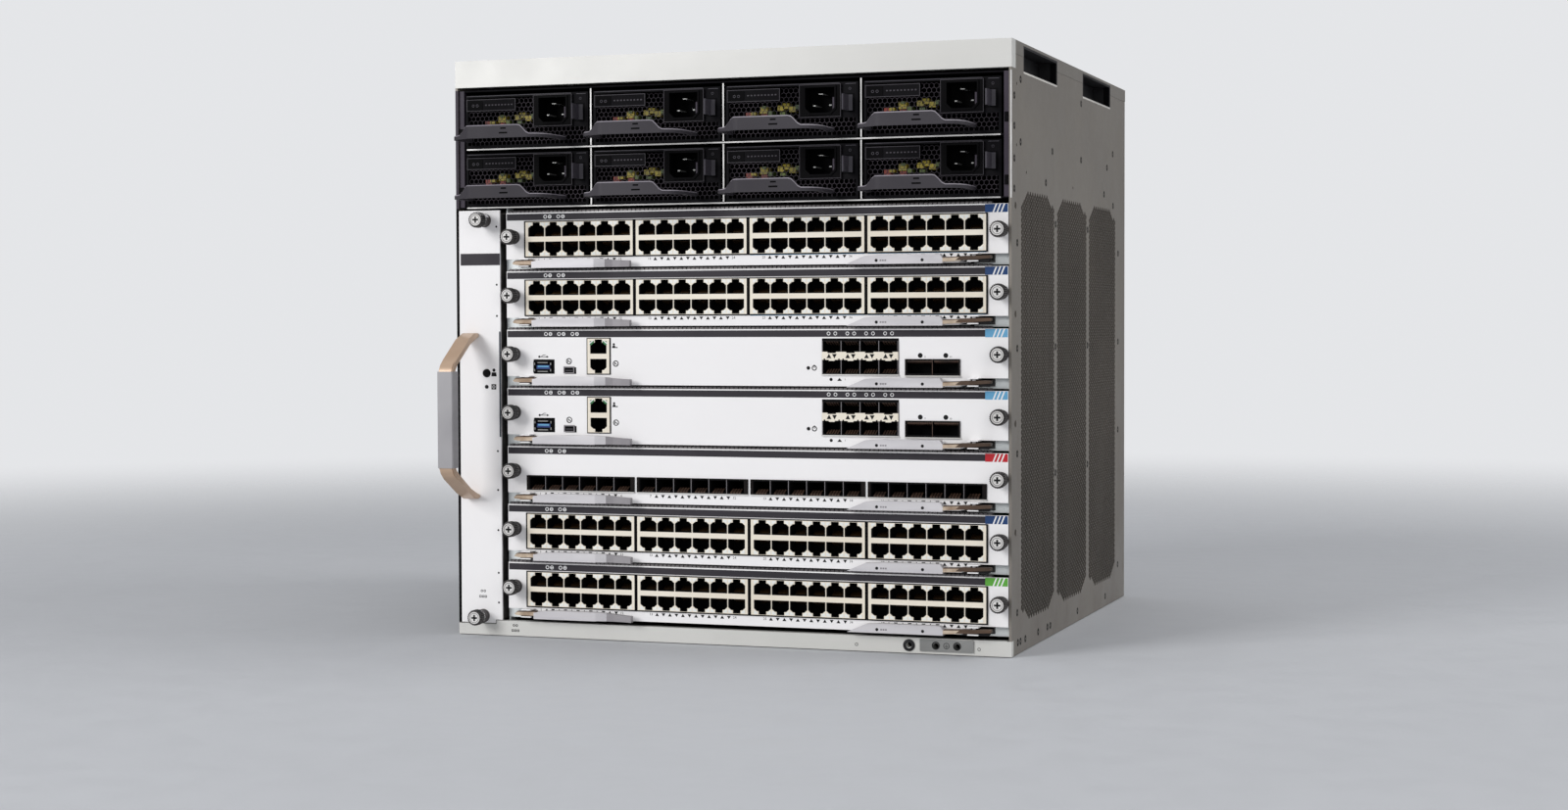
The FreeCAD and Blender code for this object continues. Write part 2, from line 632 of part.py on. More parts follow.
CARD_LEFT = d("(%s + {CardLeft})" % LEFT)
CARD_RIGHT = d("(%s - {CardRight})" % RIGHT)
TRAY_LEFT = d("(%s + {TrayLeft})" % LEFT)
TRAY_RIGHT = d("(%s - {TrayRight})" % RIGHT)
PIN_LEFT = d("(%s + {PinLeft})" % LEFT)
PIN_RIGHT = d("(%s - {PinRight})" % RIGHT)


def card_tray(label, windows):
    """Steel tray with its face plate, hinge ears with pins and two captive screws."""
    body = new_body(label)
    sheet, thin = d("{SheetThickness}"), d("{ThinSheet}")
    low = d("-{CardHeight}")
    notch = d("-{CardHeight} + 6.4")
    inner_left = d("%s + 4" % PIN_LEFT)
    inner_right = d("%s - 4" % PIN_RIGHT)

    def face(sketch):
        outline(sketch, [
            (CARD_LEFT, "0"), (CARD_LEFT, notch), (inner_left, notch), (inner_left, low),
            (inner_right, low), (inner_right, notch), (CARD_RIGHT, notch), (CARD_RIGHT, "0")])
        for window in windows:
            rectangle(sketch, *window)

    front_pad(body, FRONT, sheet, face)
    # top return of the face plate
    front_pad(body, FRONT, "8", lambda sketch: rectangle(
        sketch, TRAY_LEFT, "-%s" % thin, TRAY_RIGHT, "0"))
    # floor, narrower behind the claws
    neck = d("%s + {NeckDepth}" % FRONT)
    end = d("%s + {CardReach}" % FRONT)
    sketch = new_sketch(body, "XY", TRAY_BOTTOM)
    outline(sketch, [
        (d("%s + {TrayNeck}" % TRAY_LEFT), FRONT), (d("%s - {TrayNeck}" % TRAY_RIGHT), FRONT),
        (d("%s - {TrayNeck}" % TRAY_RIGHT), neck), (TRAY_RIGHT, neck), (TRAY_RIGHT, end),
        (TRAY_LEFT, end), (TRAY_LEFT, neck), (d("%s + {TrayNeck}" % TRAY_LEFT), neck)])
    pad(body, sketch, thin)
    wall_top = d("(%s + {TrayWall})" % TRAY_BOTTOM)
    slab(body, TRAY_LEFT, "%s + %s" % (TRAY_LEFT, thin), neck, end, TRAY_BOTTOM, wall_top)
    slab(body, "%s - %s" % (TRAY_RIGHT, thin), TRAY_RIGHT, neck, end, TRAY_BOTTOM, wall_top)
    # ribs that carry the board
    board_base = d("(%s - {BoardThickness})" % BOARD_TOP)
    for rib in ("-120", "114"):
        slab(body, rib, "%s + 6" % rib, "%s + 30" % FRONT, "%s - 20" % end, TRAY_BOTTOM,
             board_base)
    # hinge ears above and below each claw, and the pins between them
    ear = d("{EarThickness}")
    for x0, x1, pin in ((d("%s - 4" % PIN_LEFT), inner_left, PIN_LEFT),
                        (inner_right, d("%s + 4" % PIN_RIGHT), PIN_RIGHT)):
        slab(body, x0, x1, d("%s - 4" % PIN_Y), FRONT + " + " + sheet,
             d("-{LeverTop} - {EarThickness}"), d("-{LeverTop}"))
        slab(body, x0, x1, d("%s - 4" % PIN_Y), FRONT + " + " + sheet,
             d("-{LeverTop} - {LeverHeight}"), d("-{LeverTop} - {LeverHeight} + {EarThickness}"))
        sketch = new_sketch(body, "XY", d("-{LeverTop} - {LeverHeight} + %s / 2" % ear))
        polygon(sketch, pin, PIN_Y, d("{PinRadius}"), 8)
        pad(body, sketch, d("{LeverHeight} - %s" % ear))
    # captive screws: collar and head
    for reach, radius in ((d("{CaptiveOut} * 0.42"), d("{CaptiveRadius} - 0.8")),
                          (d("{CaptiveOut}"), d("{CaptiveRadius}"))):
        start = FRONT + " - " + reach
        depth = reach if "0.42" in reach else d("{CaptiveOut} * 0.58")
        front_pad(body, start, depth, lambda sketch, r=radius: [
            polygon(sketch, d("%s + {CaptiveLeft}" % LEFT), d("-{CaptiveDrop}"), r, 12),
            polygon(sketch, d("%s - {CaptiveRight}" % RIGHT), d("-{CaptiveDrop}"), r, 12)])
    return body


def port_mouth(sketch, middle, base, up):
    """One socket mouth, above or below its base line."""
    half = d("{PortWidth} / 2")
    other = d("%s %s {PortHeight}" % (base, "+" if up else "-"))
    low, high = (base, other) if up else (other, base)
    rectangle(sketch, "%s - %s" % (middle, half), low, "%s + %s" % (middle, half), high)


PORT_MIDDLE = d("(%s + {PortBlockHeight} / 2)" % BOARD_TOP)
FACE_OUT = d("(%s - 0.4)" % FRONT)


def window_of(x0, x1, z0, z1):
    """Face plate window round a connector, with a fitting gap."""
    gap = "0.3"
    return ("%s - %s" % (x0, gap), "%s - %s" % (z0, gap), "%s + %s" % (x1, gap),
            "%s + %s" % (z1, gap))


def block_left(block):
    return d("(%s + {PortBlockLeft} + %d * {PortBlockPitch})" % (LEFT, block))


def socket_block():
    """Moulded block with two rows of six network sockets."""
    body = new_body("socket_block")
    front_pad(body, FACE_OUT, d("{PortBlockDepth}"), lambda sketch: rectangle(
        sketch, "0", BOARD_TOP, d("{PortBlockWidth}"), d("-{PortTop}")))
    first = d("({PortBlockWidth} / 2 - {PortPitch} * ({PortColumns} - 1) / 2)")
    cut = front_pocket(body, FACE_OUT, d("{PortReach}"), lambda sketch: [
        port_mouth(sketch, first, d("(%s + {MidBar} / 2)" % PORT_MIDDLE), True),
        port_mouth(sketch, first, d("(%s - {MidBar} / 2)" % PORT_MIDDLE), False)])
    row_of(body, cut, "X", d("{PortPitch}"), d("{PortColumns}"))
    return body


def optic_block():
    """Row of six metal cages for pluggable optics."""
    body = new_body("optic_block")
    front_pad(body, FACE_OUT, d("2 * {PortBlockDepth}"), lambda sketch: rectangle(
        sketch, "0", BOARD_TOP, d("{PortBlockWidth}"), d("%s + {CageHeight}" % BOARD_TOP)))
    first = d("({PortBlockWidth} / 2 - {PortPitch} * {PortColumns} / 2 + 0.5)")
    cut = front_pocket(body, FACE_OUT, d("2 * {PortReach}"), lambda sketch: rectangle(
        sketch, first, d("%s + 1" % BOARD_TOP), d("%s + {PortPitch} - 1" % first),
        d("%s + {CageHeight} - 1" % BOARD_TOP)))
    row_of(body, cut, "X", d("{PortPitch}"), d("{PortColumns}"))
    return body


def plain_board(label):
    """Circuit board with its rear connector and two cooling blocks."""
    body = new_body(label)
    under = d("%s - {BoardThickness}" % BOARD_TOP)
    left = d("%s + {BoardInset}" % TRAY_LEFT)
    right = d("%s - {BoardInset}" % TRAY_RIGHT)
    end = d("(%s + {CardReach})" % FRONT)
    slab(body, left, right, d("%s + {SheetThickness} + 0.3" % FRONT), end, under, BOARD_TOP)
    slab(body, "-150", "150", "%s - 22" % end, d("%s - {Clearance}" % CAGE_END), BOARD_TOP,
         "%s + 24" % BOARD_TOP)
    for x in ("-110", "40"):
        slab(body, x, "%s + 60" % x, "%s + 120" % FRONT, "%s + 190" % FRONT, BOARD_TOP,
             "%s + 18" % BOARD_TOP)
    return body


def carrying_board(label, block):
    """Board with four like connector blocks soldered along its front."""
    board = plain_board(label + "_bare")
    pieces = [board]
    for index in range(4):
        link = doc.addObject("App::Link", label + "_block")
        link.LinkedObject = block
        link.setExpression("Placement.Base.x", block_left(index))
        pieces.append(link)
    whole = doc.addObject("Part::MultiFuse", label)
    whole.Shapes = pieces
    whole.Refine = False
    return whole


# Supervisor connectors: left and right from the chassis' left side, bottom and top from the
# board, depth, as expressions.
SUPERVISOR_BLOCKS = [
    ("65", "82", "0", "10.4"),
    ("91", "100", "0", "4.4"),
    ("110", "128", "0", "26.2"),
    ("297.2", "355.4", "0", "26.2"),
    ("361", "401", "0", "11.2"),
]


def supervisor_box(entry):
    x0, x1, z0, z1 = entry
    return (d("(%s + %s)" % (LEFT, x0)), d("(%s + %s)" % (LEFT, x1)),
            "(%s + %s)" % (BOARD_TOP, z0), "(%s + %s)" % (BOARD_TOP, z1))


def supervisor_board():
    """Board with its own mix of connectors: two sockets, two serial ports and ten cages."""
    body = plain_board("supervisor_board")
    for entry in SUPERVISOR_BLOCKS:
        x0, x1, z0, z1 = supervisor_box(entry)
        front_pad(body, FACE_OUT, "44", lambda sketch, box=(x0, z0, x1, z1): rectangle(
            sketch, *box))

    def mouths(sketch):
        rectangle(sketch, d("%s + 66" % LEFT), "%s + 3" % BOARD_TOP, d("%s + 81" % LEFT),
                  "%s + 9.4" % BOARD_TOP)
        rectangle(sketch, d("%s + 92" % LEFT), "%s + 0.8" % BOARD_TOP, d("%s + 99" % LEFT),
                  "%s + 3.6" % BOARD_TOP)
        middle = d("(%s + 119)" % LEFT)
        port_mouth(sketch, middle, d("(%s + {MidBar} / 2)" % PORT_MIDDLE), True)
        port_mouth(sketch, middle, d("(%s - {MidBar} / 2)" % PORT_MIDDLE), False)
        for column in range(4):
            x = d("(%s + 298.1 + %d * 14.4)" % (LEFT, column))
            for z in ("%s + 1.2" % BOARD_TOP, "%s + 15.8" % BOARD_TOP):
                rectangle(sketch, x, z, "%s + 13.2" % x, "%s + 9.2" % z)
        for x in (d("(%s + 362)" % LEFT), d("(%s + 381.6)" % LEFT)):
            rectangle(sketch, x, "%s + 1.1" % BOARD_TOP, "%s + 18.4" % x,
                      "%s + 10.1" % BOARD_TOP)

    front_pocket(body, FACE_OUT, "14", mouths)
    return body


def lever(side):
    """Ejector: long folded handle, claw beyond the pin, bored for the pin.

    side is -1 for the left lever and 1 for the right one; the plan is drawn from the pin."""
    body = new_body("left_lever" if side < 0 else "right_lever")
    pin = PIN_LEFT if side < 0 else PIN_RIGHT
    free = d("(%s + {LeverLeftEnd})" % LEFT) if side < 0 else d("(%s + {LeverRightEnd})" % LEFT)
    back = d("(%s - 2.4)" % FRONT)
    front = d("(%s - 8)" % FRONT)
    low = d("-{LeverTop} - {LeverHeight}")
    neck = "%s - %d * 5.2" % (pin, side)
    start = "%s - %d * 10" % (pin, side)
    bend = "%s + %d * 20" % (free, side)
    # handle: full height, curving outwards at its free end
    sketch = new_sketch(body, "XY", low)
    outline(sketch, [(start, back), (bend, back), (free, "%s - 1.8" % back),
                     (free, "%s - 1.2" % front), (bend, front), (start, front)])
    pad(body, sketch, d("{LeverHeight}"))
    # claw: thinner, between the ears
    sketch = new_sketch(body, "XY", d("%s + {EarThickness} + 0.2" % low))
    tip = d("%s + %d * {ClawReach}" % (pin, side))
    outline(sketch, [
        (start, back), (start, front), ("%s + %d * 1.5" % (pin, side), front),
        ("%s - %d * 5" % (tip, side), "%s + 2.6" % front), (tip, "%s + 2.6" % front),
        (tip, back)])
    pad(body, sketch, d("{LeverHeight} - 2 * {EarThickness} - 0.4"))
    sketch = new_sketch(body, "XY", "%s - 1" % low)
    circle(sketch, pin, PIN_Y, d("{PinRadius} + {PinFit}"))
    pocket(body, sketch, d("{LeverHeight} + 2"), backwards=True)
    # the handle leaves room for the ears
    sketch = new_sketch(body, "XY", "%s - 1" % low)
    rectangle(sketch, neck, "%s - 2" % front, "%s + %d * 1" % (neck, side), "%s - 1" % front)
    return body


# ---------------------------------------------------------------- power supplies

def power_module():
    """Module case with grille, mains inlet, latch slot and a bent strip handle."""
    body = new_body("power_module")
    left, right = MODULE_LEFT, "-%s" % MODULE_LEFT
    top = d("{ModuleHeight}")
    face = d("(%s + {FrontInset})" % FRONT)
    slab(body, left, right, face, d("%s + {ModuleReach}" % face), "0", top)
    # mains inlet with three blades
    inlet = d("(%s + {InletLeft})" % left)
    inlet_top = d("({ModuleHeight} - {InletDrop})")
    front_pocket(body, face, d("{InletDepth}"), lambda sketch: outline(sketch, [
        (inlet, d("%s - {InletHeight}" % inlet_top)),
        (d("%s + {InletWidth}" % inlet), d("%s - {InletHeight}" % inlet_top)),
        (d("%s + {InletWidth}" % inlet), d("%s - 3" % inlet_top)),
        (d("%s + {InletWidth} - 3" % inlet), inlet_top),
        ("%s + 3" % inlet, inlet_top), (inlet, d("%s - 3" % inlet_top))]))
    blades = [("0.5", "5.3"), ("0.24", "14"), ("0.76", "14")]
    front_pad(body, "%s + 2" % face, d("{InletDepth}"), lambda sketch: [
        rectangle(sketch, d("%s + {InletWidth} * %s - 2.6" % (inlet, across)),
                  "%s - %s - 0.9" % (inlet_top, down),
                  d("%s + {InletWidth} * %s + 2.6" % (inlet, across)),
                  "%s - %s + 0.9" % (inlet_top, down)) for across, down in blades])
    # label recess
    front_pocket(body, face, "0.8", lambda sketch: rectangle(
        sketch, "%s + 3" % left, "%s - 10" % top, "%s + 44" % left, "%s - 1" % top))

    # grille openings
    front_pocket(body, face, "5", lambda sketch: [
        hexagon(sketch, "%s + %s" % (left, 7.5 + 10.2 * column), "%s - 21.4" % top, "8.4")
        for column in range(5)])
    # slot that the release latch rides in
    slot = d("(%s + {LatchLeft})" % left)
    latch_top = "(%s - 9.6)" % top
    front_pocket(body, face, "9", lambda sketch: rectangle(
        sketch, "%s - 4" % slot, d("%s - {LatchHeight} - 0.6" % latch_top), "%s + 5.5" % slot,
        "%s + 0.6" % latch_top))
    handle(body, left, face, top)
    return body


def handle(body, left, face, top):
    """Strip bent to a bow: tall grip in front, thin legs back to the face."""
    strip = d("{HandleStrip}")
    out = d("(%s - {HandleOut})" % face)
    grip_top = d("({ModuleHeight} - {HandleDrop})")
    grip_low = d("(%s - {HandleGrip})" % grip_top)
    grip_left, grip_right = "(%s + 24)" % left, "(%s + 68)" % left
    # elevation of the grip, with an s-shaped shoulder at each end
    front_pad(body, out, strip, lambda sketch: outline(sketch, [
        ("%s - 2" % grip_left, grip_low), ("%s + 7" % grip_right, grip_low),
        ("%s + 7" % grip_right, "%s + 2.6" % grip_low),
        ("%s + 4.6" % grip_right, "%s + 3.6" % grip_low),
        ("%s + 1.8" % grip_right, "%s - 1.6" % grip_top), (grip_right, grip_top),
        ("%s - 0" % grip_left, grip_top), ("%s - 2" % grip_left, "%s - 1.2" % grip_top)]))
    # legs in plan
    sketch = new_sketch(body, "XY", grip_low)
    outline(sketch, [
        ("%s - 2" % grip_left, out), ("%s + 9" % left, "%s + 10" % out),
        ("%s + 3" % left, "%s + 14" % out), ("%s + 3" % left, "%s + 1" % face),
        ("%s + 3 + %s" % (left, strip), "%s + 1" % face),
        ("%s + 3 + %s" % (left, strip), "%s + 15.4" % out),
        ("%s + 10" % left, "%s + 12.4" % out),
        ("%s - 2" % grip_left, "%s + %s" % (out, strip))])
    pad(body, sketch, "2.6")
    sketch = new_sketch(body, "XY", grip_low)
    outline(sketch, [
        ("%s + 7" % grip_right, out), ("%s + 14" % grip_right, "%s + 8" % out),
        ("%s + 16" % grip_right, "%s + 1" % face),
        ("%s + 16 - %s" % (grip_right, strip), "%s + 1" % face),
        ("%s + 14 - %s" % (grip_right, strip), "%s + 9" % out),
        ("%s + 7" % grip_right, "%s + %s" % (out, strip))])
    pad(body, sketch, "2.6")


def release_latch():
    """Spring latch: foot in the module's slot and a thumb tab in front."""
    body = new_body("release_latch")
    face = d("(%s + {FrontInset})" % FRONT)
    slot = d("(%s + {LatchLeft})" % MODULE_LEFT)
    top = d("({ModuleHeight} - 9.6)")
    low = d("(%s - {LatchHeight})" % top)
    sketch = new_sketch(body, "XY", low)
    outline(sketch, [
        (slot, d("%s - {LatchOut}" % face)), ("%s + 1.4" % slot, d("%s - {LatchOut} - 0.6" % face)),
        ("%s + 2.4" % slot, "%s - 2" % face), ("%s + 5.1" % slot, "%s - 0.5" % face),
        ("%s + 5.1" % slot, "%s + 8.7" % face), ("%s + 0.6" % slot, "%s + 8.7" % face),
        ("%s + 0.6" % slot, "%s - 2" % face)])
    pad(body, sketch, d("{LatchHeight}"))
    return body


# ---------------------------------------------------------------- fan tray

def fan_tray():
    """Tall tray: face plate with captive screws, box behind it with eight fan rings."""
    body = new_body("fan_tray")
    sheet = d("{SheetThickness}")
    left = FAN_LEFT
    right = d("(%s + {FanFaceWidth})" % left)
    low, top = d("{FanFaceBottom}"), d("(%s - {FanFaceTop})" % TOP)
    notch = d("{BottomBezel} + 0.6")
    front_pad(body, FRONT, sheet, lambda sketch: outline(sketch, [
        (left, low), ("%s - 5.9" % right, low), ("%s - 5.9" % right, notch), (right, notch),
        (right, top), (left, top)]))
    inset = d("{FanBoxInset}")
    box_left = "(%s + %s)" % (left, inset)
    box_right = "(%s - %s)" % (right, inset)
    slab(body, box_left, box_right, FRONT, d("%s + {FanReach}" % FRONT), notch,
         "%s - %s" % (top, inset))
    # rings of the eight fans, four high in two banks, sunk into the left side round their hubs
    sketch = new_sketch(body, "YZ", box_left)
    middle_y = d("(%s + {FanReach} * 0.27)" % FRONT)
    pitch = d("((%s - %s) / 4)" % (top, notch))
    middle_z = "%s + %s / 2" % (notch, pitch)
    polygon(sketch, middle_y, middle_z, d("{FanReach} * 0.095"), 16)
    polygon(sketch, middle_y, middle_z, d("{FanReach} * 0.04"), 8)
    cut = pocket(body, sketch, d("({FanFaceWidth} - 2 * {FanBoxInset}) / 2"), backwards=True)
    grid_of(body, cut, [("Z", pitch, "4"), ("Y", d("{FanReach} * 0.46"), "2")])
    # captive screws and the button's bore
    for reach, back, radius in ((8, 8, "{CaptiveRadius} - 0.8"), (16, 8, "{CaptiveRadius}")):
        front_pad(body, "%s - %s" % (FRONT, reach), str(back), lambda sketch, r=radius: [
            polygon(sketch, "%s + 22" % left, "%s - 7" % top, d(r), 12),
            polygon(sketch, "%s + 18.6" % left, "%s + 5.4" % low, d(r), 12)])
    front_pocket(body, "%s - 1" % FRONT, "7", lambda sketch: circle(
        sketch, BUTTON_X, BUTTON_Z, d("{ButtonRadius} + {Clearance}")))
    return keep(body, "fan_tray")


BUTTON_X = d("(%s + 25)" % LEFT)
BUTTON_Z = d("(%s - {ButtonDrop})" % TOP)


def fan_tray_button():
    body = new_body("fan_tray_button")
    front_pad(body, "%s - 0.8" % FRONT, "4.8", lambda sketch: circle(
        sketch, BUTTON_X, BUTTON_Z, d("{ButtonRadius}")))
    return keep(body, "fan_tray_button")


def fan_tray_handle():
    """Bow handle: two slanted legs and an upright grip."""
    body = new_body("fan_tray_handle")
    out = d("(%s - {GripOut})" % FRONT)
    inner = d("(%s - {GripOut} + 9)" % FRONT)
    high, low = d("(%s - {GripTop})" % TOP), d("(%s - {GripBottom})" % TOP)
    foot_high, foot_low = d("%s + {GripFoot}" % high), d("%s - {GripFoot} + 3" % low)
    sketch = new_sketch(body, "YZ", d("%s + 13 - {GripWidth} / 2" % LEFT))
    outline(sketch, [
        (FRONT, "%s + 4" % foot_high), (FRONT, "%s - 3" % foot_high),
        (inner, "%s - 9" % high), (inner, "%s + 9" % low), (FRONT, "%s + 3" % foot_low),
        (FRONT, "%s - 4" % foot_low), ("%s + 5" % out, "%s - 2" % low), (out, "%s + 6" % low),
        (out, "%s - 6" % high), ("%s + 5" % out, "%s + 2" % high)])
    pad(body, sketch, d("{GripWidth}"))
    return keep(body, "fan_tray_handle")


# ---------------------------------------------------------------- assembly

side_panel("left_side_panel", -1)
side_panel("right_side_panel", 1)
top_cover()
base_pan()
rear_panel()
top_bezel()
bottom_bezel()
ground_pad()
power_bay_frame()
fan_bay_wall()
card_ledges()
backplane()
hand_hold_cups()

port_windows = [window_of(block_left(i), d("%s + {PortBlockWidth}" % block_left(i)),
                          BOARD_TOP, d("-{PortTop}")) for i in range(4)]
optic_windows = [window_of(block_left(i), d("%s + {PortBlockWidth}" % block_left(i)),
                           BOARD_TOP, d("%s + {CageHeight}" % BOARD_TOP)) for i in range(4)]
supervisor_windows = [window_of(*supervisor_box(entry)) for entry in SUPERVISOR_BLOCKS]

TRAYS = {
    "socket": card_tray("socket_card_tray", port_windows),
    "supervisor": card_tray("supervisor_tray", supervisor_windows),
    "optic": card_tray("optic_card_tray", optic_windows),
}
BOARDS = {
    "socket": carrying_board("socket_card_board", socket_block()),
    "supervisor": supervisor_board(),
    "optic": carrying_board("optic_card_board", optic_block()),
}
LEFT_LEVER, RIGHT_LEVER = lever(-1), lever(1)
SLOTS = ["socket", "socket", "supervisor", "supervisor", "optic", "socket", "socket"]

for slot, kind in enumerate(SLOTS):
    name = "%s_%d" % ("supervisor" if kind == "supervisor" else "line_card", slot + 1)
    height = slot_top(slot)
    place(TRAYS[kind], name + "_tray", z=height)
    place(BOARDS[kind], name + "_board", z=height)
    place(LEFT_LEVER, name + "_left_lever", z=height)
    place(RIGHT_LEVER, name + "_right_lever", z=height)

MODULE, LATCH = power_module(), release_latch()
for number in range(8):
    column, level = number % 4, 1 - number // 4
    x = d("{BayPitch} * (%d - ({BayColumns} - 1) / 2)" % column)
    z = d("%s + {ThinSheet} + %d * {RowPitch} + {Clearance}" % (ROOF_TOP, level))
    place(MODULE, "power_supply_%d" % (number + 1), x=x, z=z)
    place(LATCH, "power_supply_%d_latch" % (number + 1), x=x, z=z)

fan_tray()
fan_tray_handle()
fan_tray_button()

# ---------------------------------------------------------------- checks and export

doc.recompute()
faults = [item.Label for item in doc.Objects
          if "Invalid" in item.State or "Error" in item.State]
masters = {}
for item in NODES:
    masters.setdefault(item.getLinkedObject(True).Name, item)
for item in masters.values():
    shape = Part.getShape(item)
    if shape.isNull() or not shape.isValid() or not shape.Solids:
        faults.append(item.Label)
if faults:
    raise RuntimeError("failed: " + ", ".join(faults))

os.makedirs("parts", exist_ok=True)
for item in NODES:
    Part.getShape(item).exportStep("parts/%s.step" % item.Label)
print("nodes", len(NODES))
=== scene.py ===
import json
import math

import bmesh
import bpy
from mathutils import Matrix, Vector

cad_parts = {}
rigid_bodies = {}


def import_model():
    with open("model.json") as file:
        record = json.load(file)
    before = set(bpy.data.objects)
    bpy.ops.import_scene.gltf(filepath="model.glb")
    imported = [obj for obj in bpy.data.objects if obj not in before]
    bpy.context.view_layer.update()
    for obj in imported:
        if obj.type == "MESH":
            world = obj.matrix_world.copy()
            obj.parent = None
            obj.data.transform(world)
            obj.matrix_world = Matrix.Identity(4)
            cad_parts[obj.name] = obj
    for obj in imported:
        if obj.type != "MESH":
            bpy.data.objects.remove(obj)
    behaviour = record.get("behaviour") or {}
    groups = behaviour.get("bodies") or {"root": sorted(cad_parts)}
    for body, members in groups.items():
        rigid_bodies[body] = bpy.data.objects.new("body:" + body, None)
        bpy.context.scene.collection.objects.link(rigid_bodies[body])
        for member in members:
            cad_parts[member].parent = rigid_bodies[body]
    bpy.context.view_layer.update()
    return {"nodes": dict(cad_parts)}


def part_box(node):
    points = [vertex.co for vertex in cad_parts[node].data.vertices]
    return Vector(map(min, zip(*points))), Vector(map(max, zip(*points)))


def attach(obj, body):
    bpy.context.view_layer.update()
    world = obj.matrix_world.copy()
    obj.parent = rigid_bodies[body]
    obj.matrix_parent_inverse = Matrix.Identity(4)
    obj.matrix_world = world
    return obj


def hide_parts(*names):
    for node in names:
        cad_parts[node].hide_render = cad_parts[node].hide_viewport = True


for item in list(bpy.data.objects):
    bpy.data.objects.remove(item)
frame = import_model()
scene = bpy.context.scene

# Datums of the chassis in millimetres. Details are drawn on a face of it: u to the right,
# v upwards, w out of the face. They are turned onto their side of the chassis at the end.
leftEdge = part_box("left_side_panel")[0].x * 1000
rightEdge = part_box("right_side_panel")[1].x * 1000
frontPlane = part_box("top_bezel")[0].y * 1000
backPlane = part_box("rear_panel")[1].y * 1000
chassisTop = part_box("top_cover")[1].z * 1000
wide = rightEdge - leftEdge
frontFoot = (leftEdge, frontPlane, 0)
sideFoot = {1: (rightEdge, frontPlane, 0), -1: frontFoot}
frontTop = (leftEdge, frontPlane, chassisTop)

onFront = Matrix(((1, 0, 0, 0), (0, 0, -1, 0), (0, 1, 0, 0), (0, 0, 0, 1)))
onRight = Matrix(((0, 0, 1, 0), (1, 0, 0, 0), (0, 1, 0, 0), (0, 0, 0, 1)))
onLeft = Matrix(((0, 0, -1, 0), (-1, 0, 0, 0), (0, 1, 0, 0), (0, 0, 0, 1)))

cards = [
    {"body": "line_card_1", "kind": "jacks", "tag": "tagNavy", "glow": True},
    {"body": "line_card_2", "kind": "jacks", "tag": "tagNavy", "glow": True},
    {"body": "supervisor_3", "kind": "supervisor", "tag": "tagSky", "glow": False},
    {"body": "supervisor_4", "kind": "supervisor", "tag": "tagSky", "glow": False},
    {"body": "line_card_5", "kind": "optics", "tag": "tagRed", "glow": False},
    {"body": "line_card_6", "kind": "jacks", "tag": "tagNavy", "glow": False},
    {"body": "line_card_7", "kind": "jacks", "tag": "tagGreen", "glow": False},
]
supplies = ["power_supply_%d" % number for number in range(1, 9)]


def tint(red, green, blue):
    channels = []
    for channel in (red, green, blue):
        part = channel / 255
        channels.append(part / 12.92 if part <= 0.04045 else ((part + 0.055) / 1.055) ** 2.4)
    return tuple(channels) + (1.0,)


def newGroup(name, kind, inputs, outputs):
    tree = bpy.data.node_groups.new(name, kind)
    for label, socket, value in inputs:
        made = tree.interface.new_socket(name=label, in_out="INPUT", socket_type=socket)
        if value is not None:
            made.default_value = value
    for label, socket in outputs:
        tree.interface.new_socket(name=label, in_out="OUTPUT", socket_type=socket)
    return tree, tree.nodes.new("NodeGroupInput"), tree.nodes.new("NodeGroupOutput")


def addNode(tree, kind, feeds=(), **settings):
    # feeds: an input with its constant, or with the socket that drives it.
    node = tree.nodes.new(kind)
    for name, value in settings.items():
        setattr(node, name, value)
    for socket, value in feeds:
        if isinstance(value, bpy.types.NodeSocket):
            tree.links.new(value, node.inputs[socket])
        else:
            node.inputs[socket].default_value = value
    return node


def makeSurfaceGroup():
    # Tone: slow drift of the colour. Height: fine grain. Wear: smudges in the gloss.
    tree, start, end = newGroup(
        "surfaceGrain", "ShaderNodeTree",
        [("Vector", "NodeSocketVector", None), ("Drift Scale", "NodeSocketFloat", 9.0),
         ("Grain Scale", "NodeSocketFloat", 900.0), ("Smudge Scale", "NodeSocketFloat", 30.0)],
        [("Tone", "NodeSocketFloat"), ("Height", "NodeSocketFloat"), ("Wear", "NodeSocketFloat")])
    for output, scale, detail, low, high in (("Tone", "Drift Scale", 3, 0.35, 0.65),
                                             ("Height", "Grain Scale", 2, 0.3, 0.7),
                                             ("Wear", "Smudge Scale", 5, 0.38, 0.66)):
        noise = addNode(tree, "ShaderNodeTexNoise", [
            ("Vector", start.outputs["Vector"]), ("Scale", start.outputs[scale]),
            ("Detail", detail)])
        spread = addNode(tree, "ShaderNodeMapRange", [
            ("Value", noise.outputs["Fac"]), ("From Min", low), ("From Max", high)])
        tree.links.new(spread.outputs["Result"], end.inputs[output])
    return tree


def makeZoneGroup():
    # One beyond a plane across the axis, nought before it.
    tree, start, end = newGroup(
        "zoneMask", "ShaderNodeTree",
        [("Vector", "NodeSocketVector", None), ("Axis", "NodeSocketVector", None),
         ("Edge", "NodeSocketFloat", 0.0), ("Softness", "NodeSocketFloat", 0.0002)],
        [("Mask", "NodeSocketFloat")])
    given = start.outputs
    along = addNode(tree, "ShaderNodeVectorMath", [(0, given["Vector"]), (1, given["Axis"])],
                    operation="DOT_PRODUCT")
    past = addNode(tree, "ShaderNodeMath", [(0, along.outputs["Value"]), (1, given["Edge"])],
                   operation="SUBTRACT")
    share = addNode(tree, "ShaderNodeMath", [(0, past.outputs["Value"]), (1, given["Softness"])],
                    operation="DIVIDE", use_clamp=True)
    tree.links.new(share.outputs["Value"], end.inputs["Mask"])
    return tree


surfaceGroup = makeSurfaceGroup()
zoneGroup = makeZoneGroup()
finishes = {}


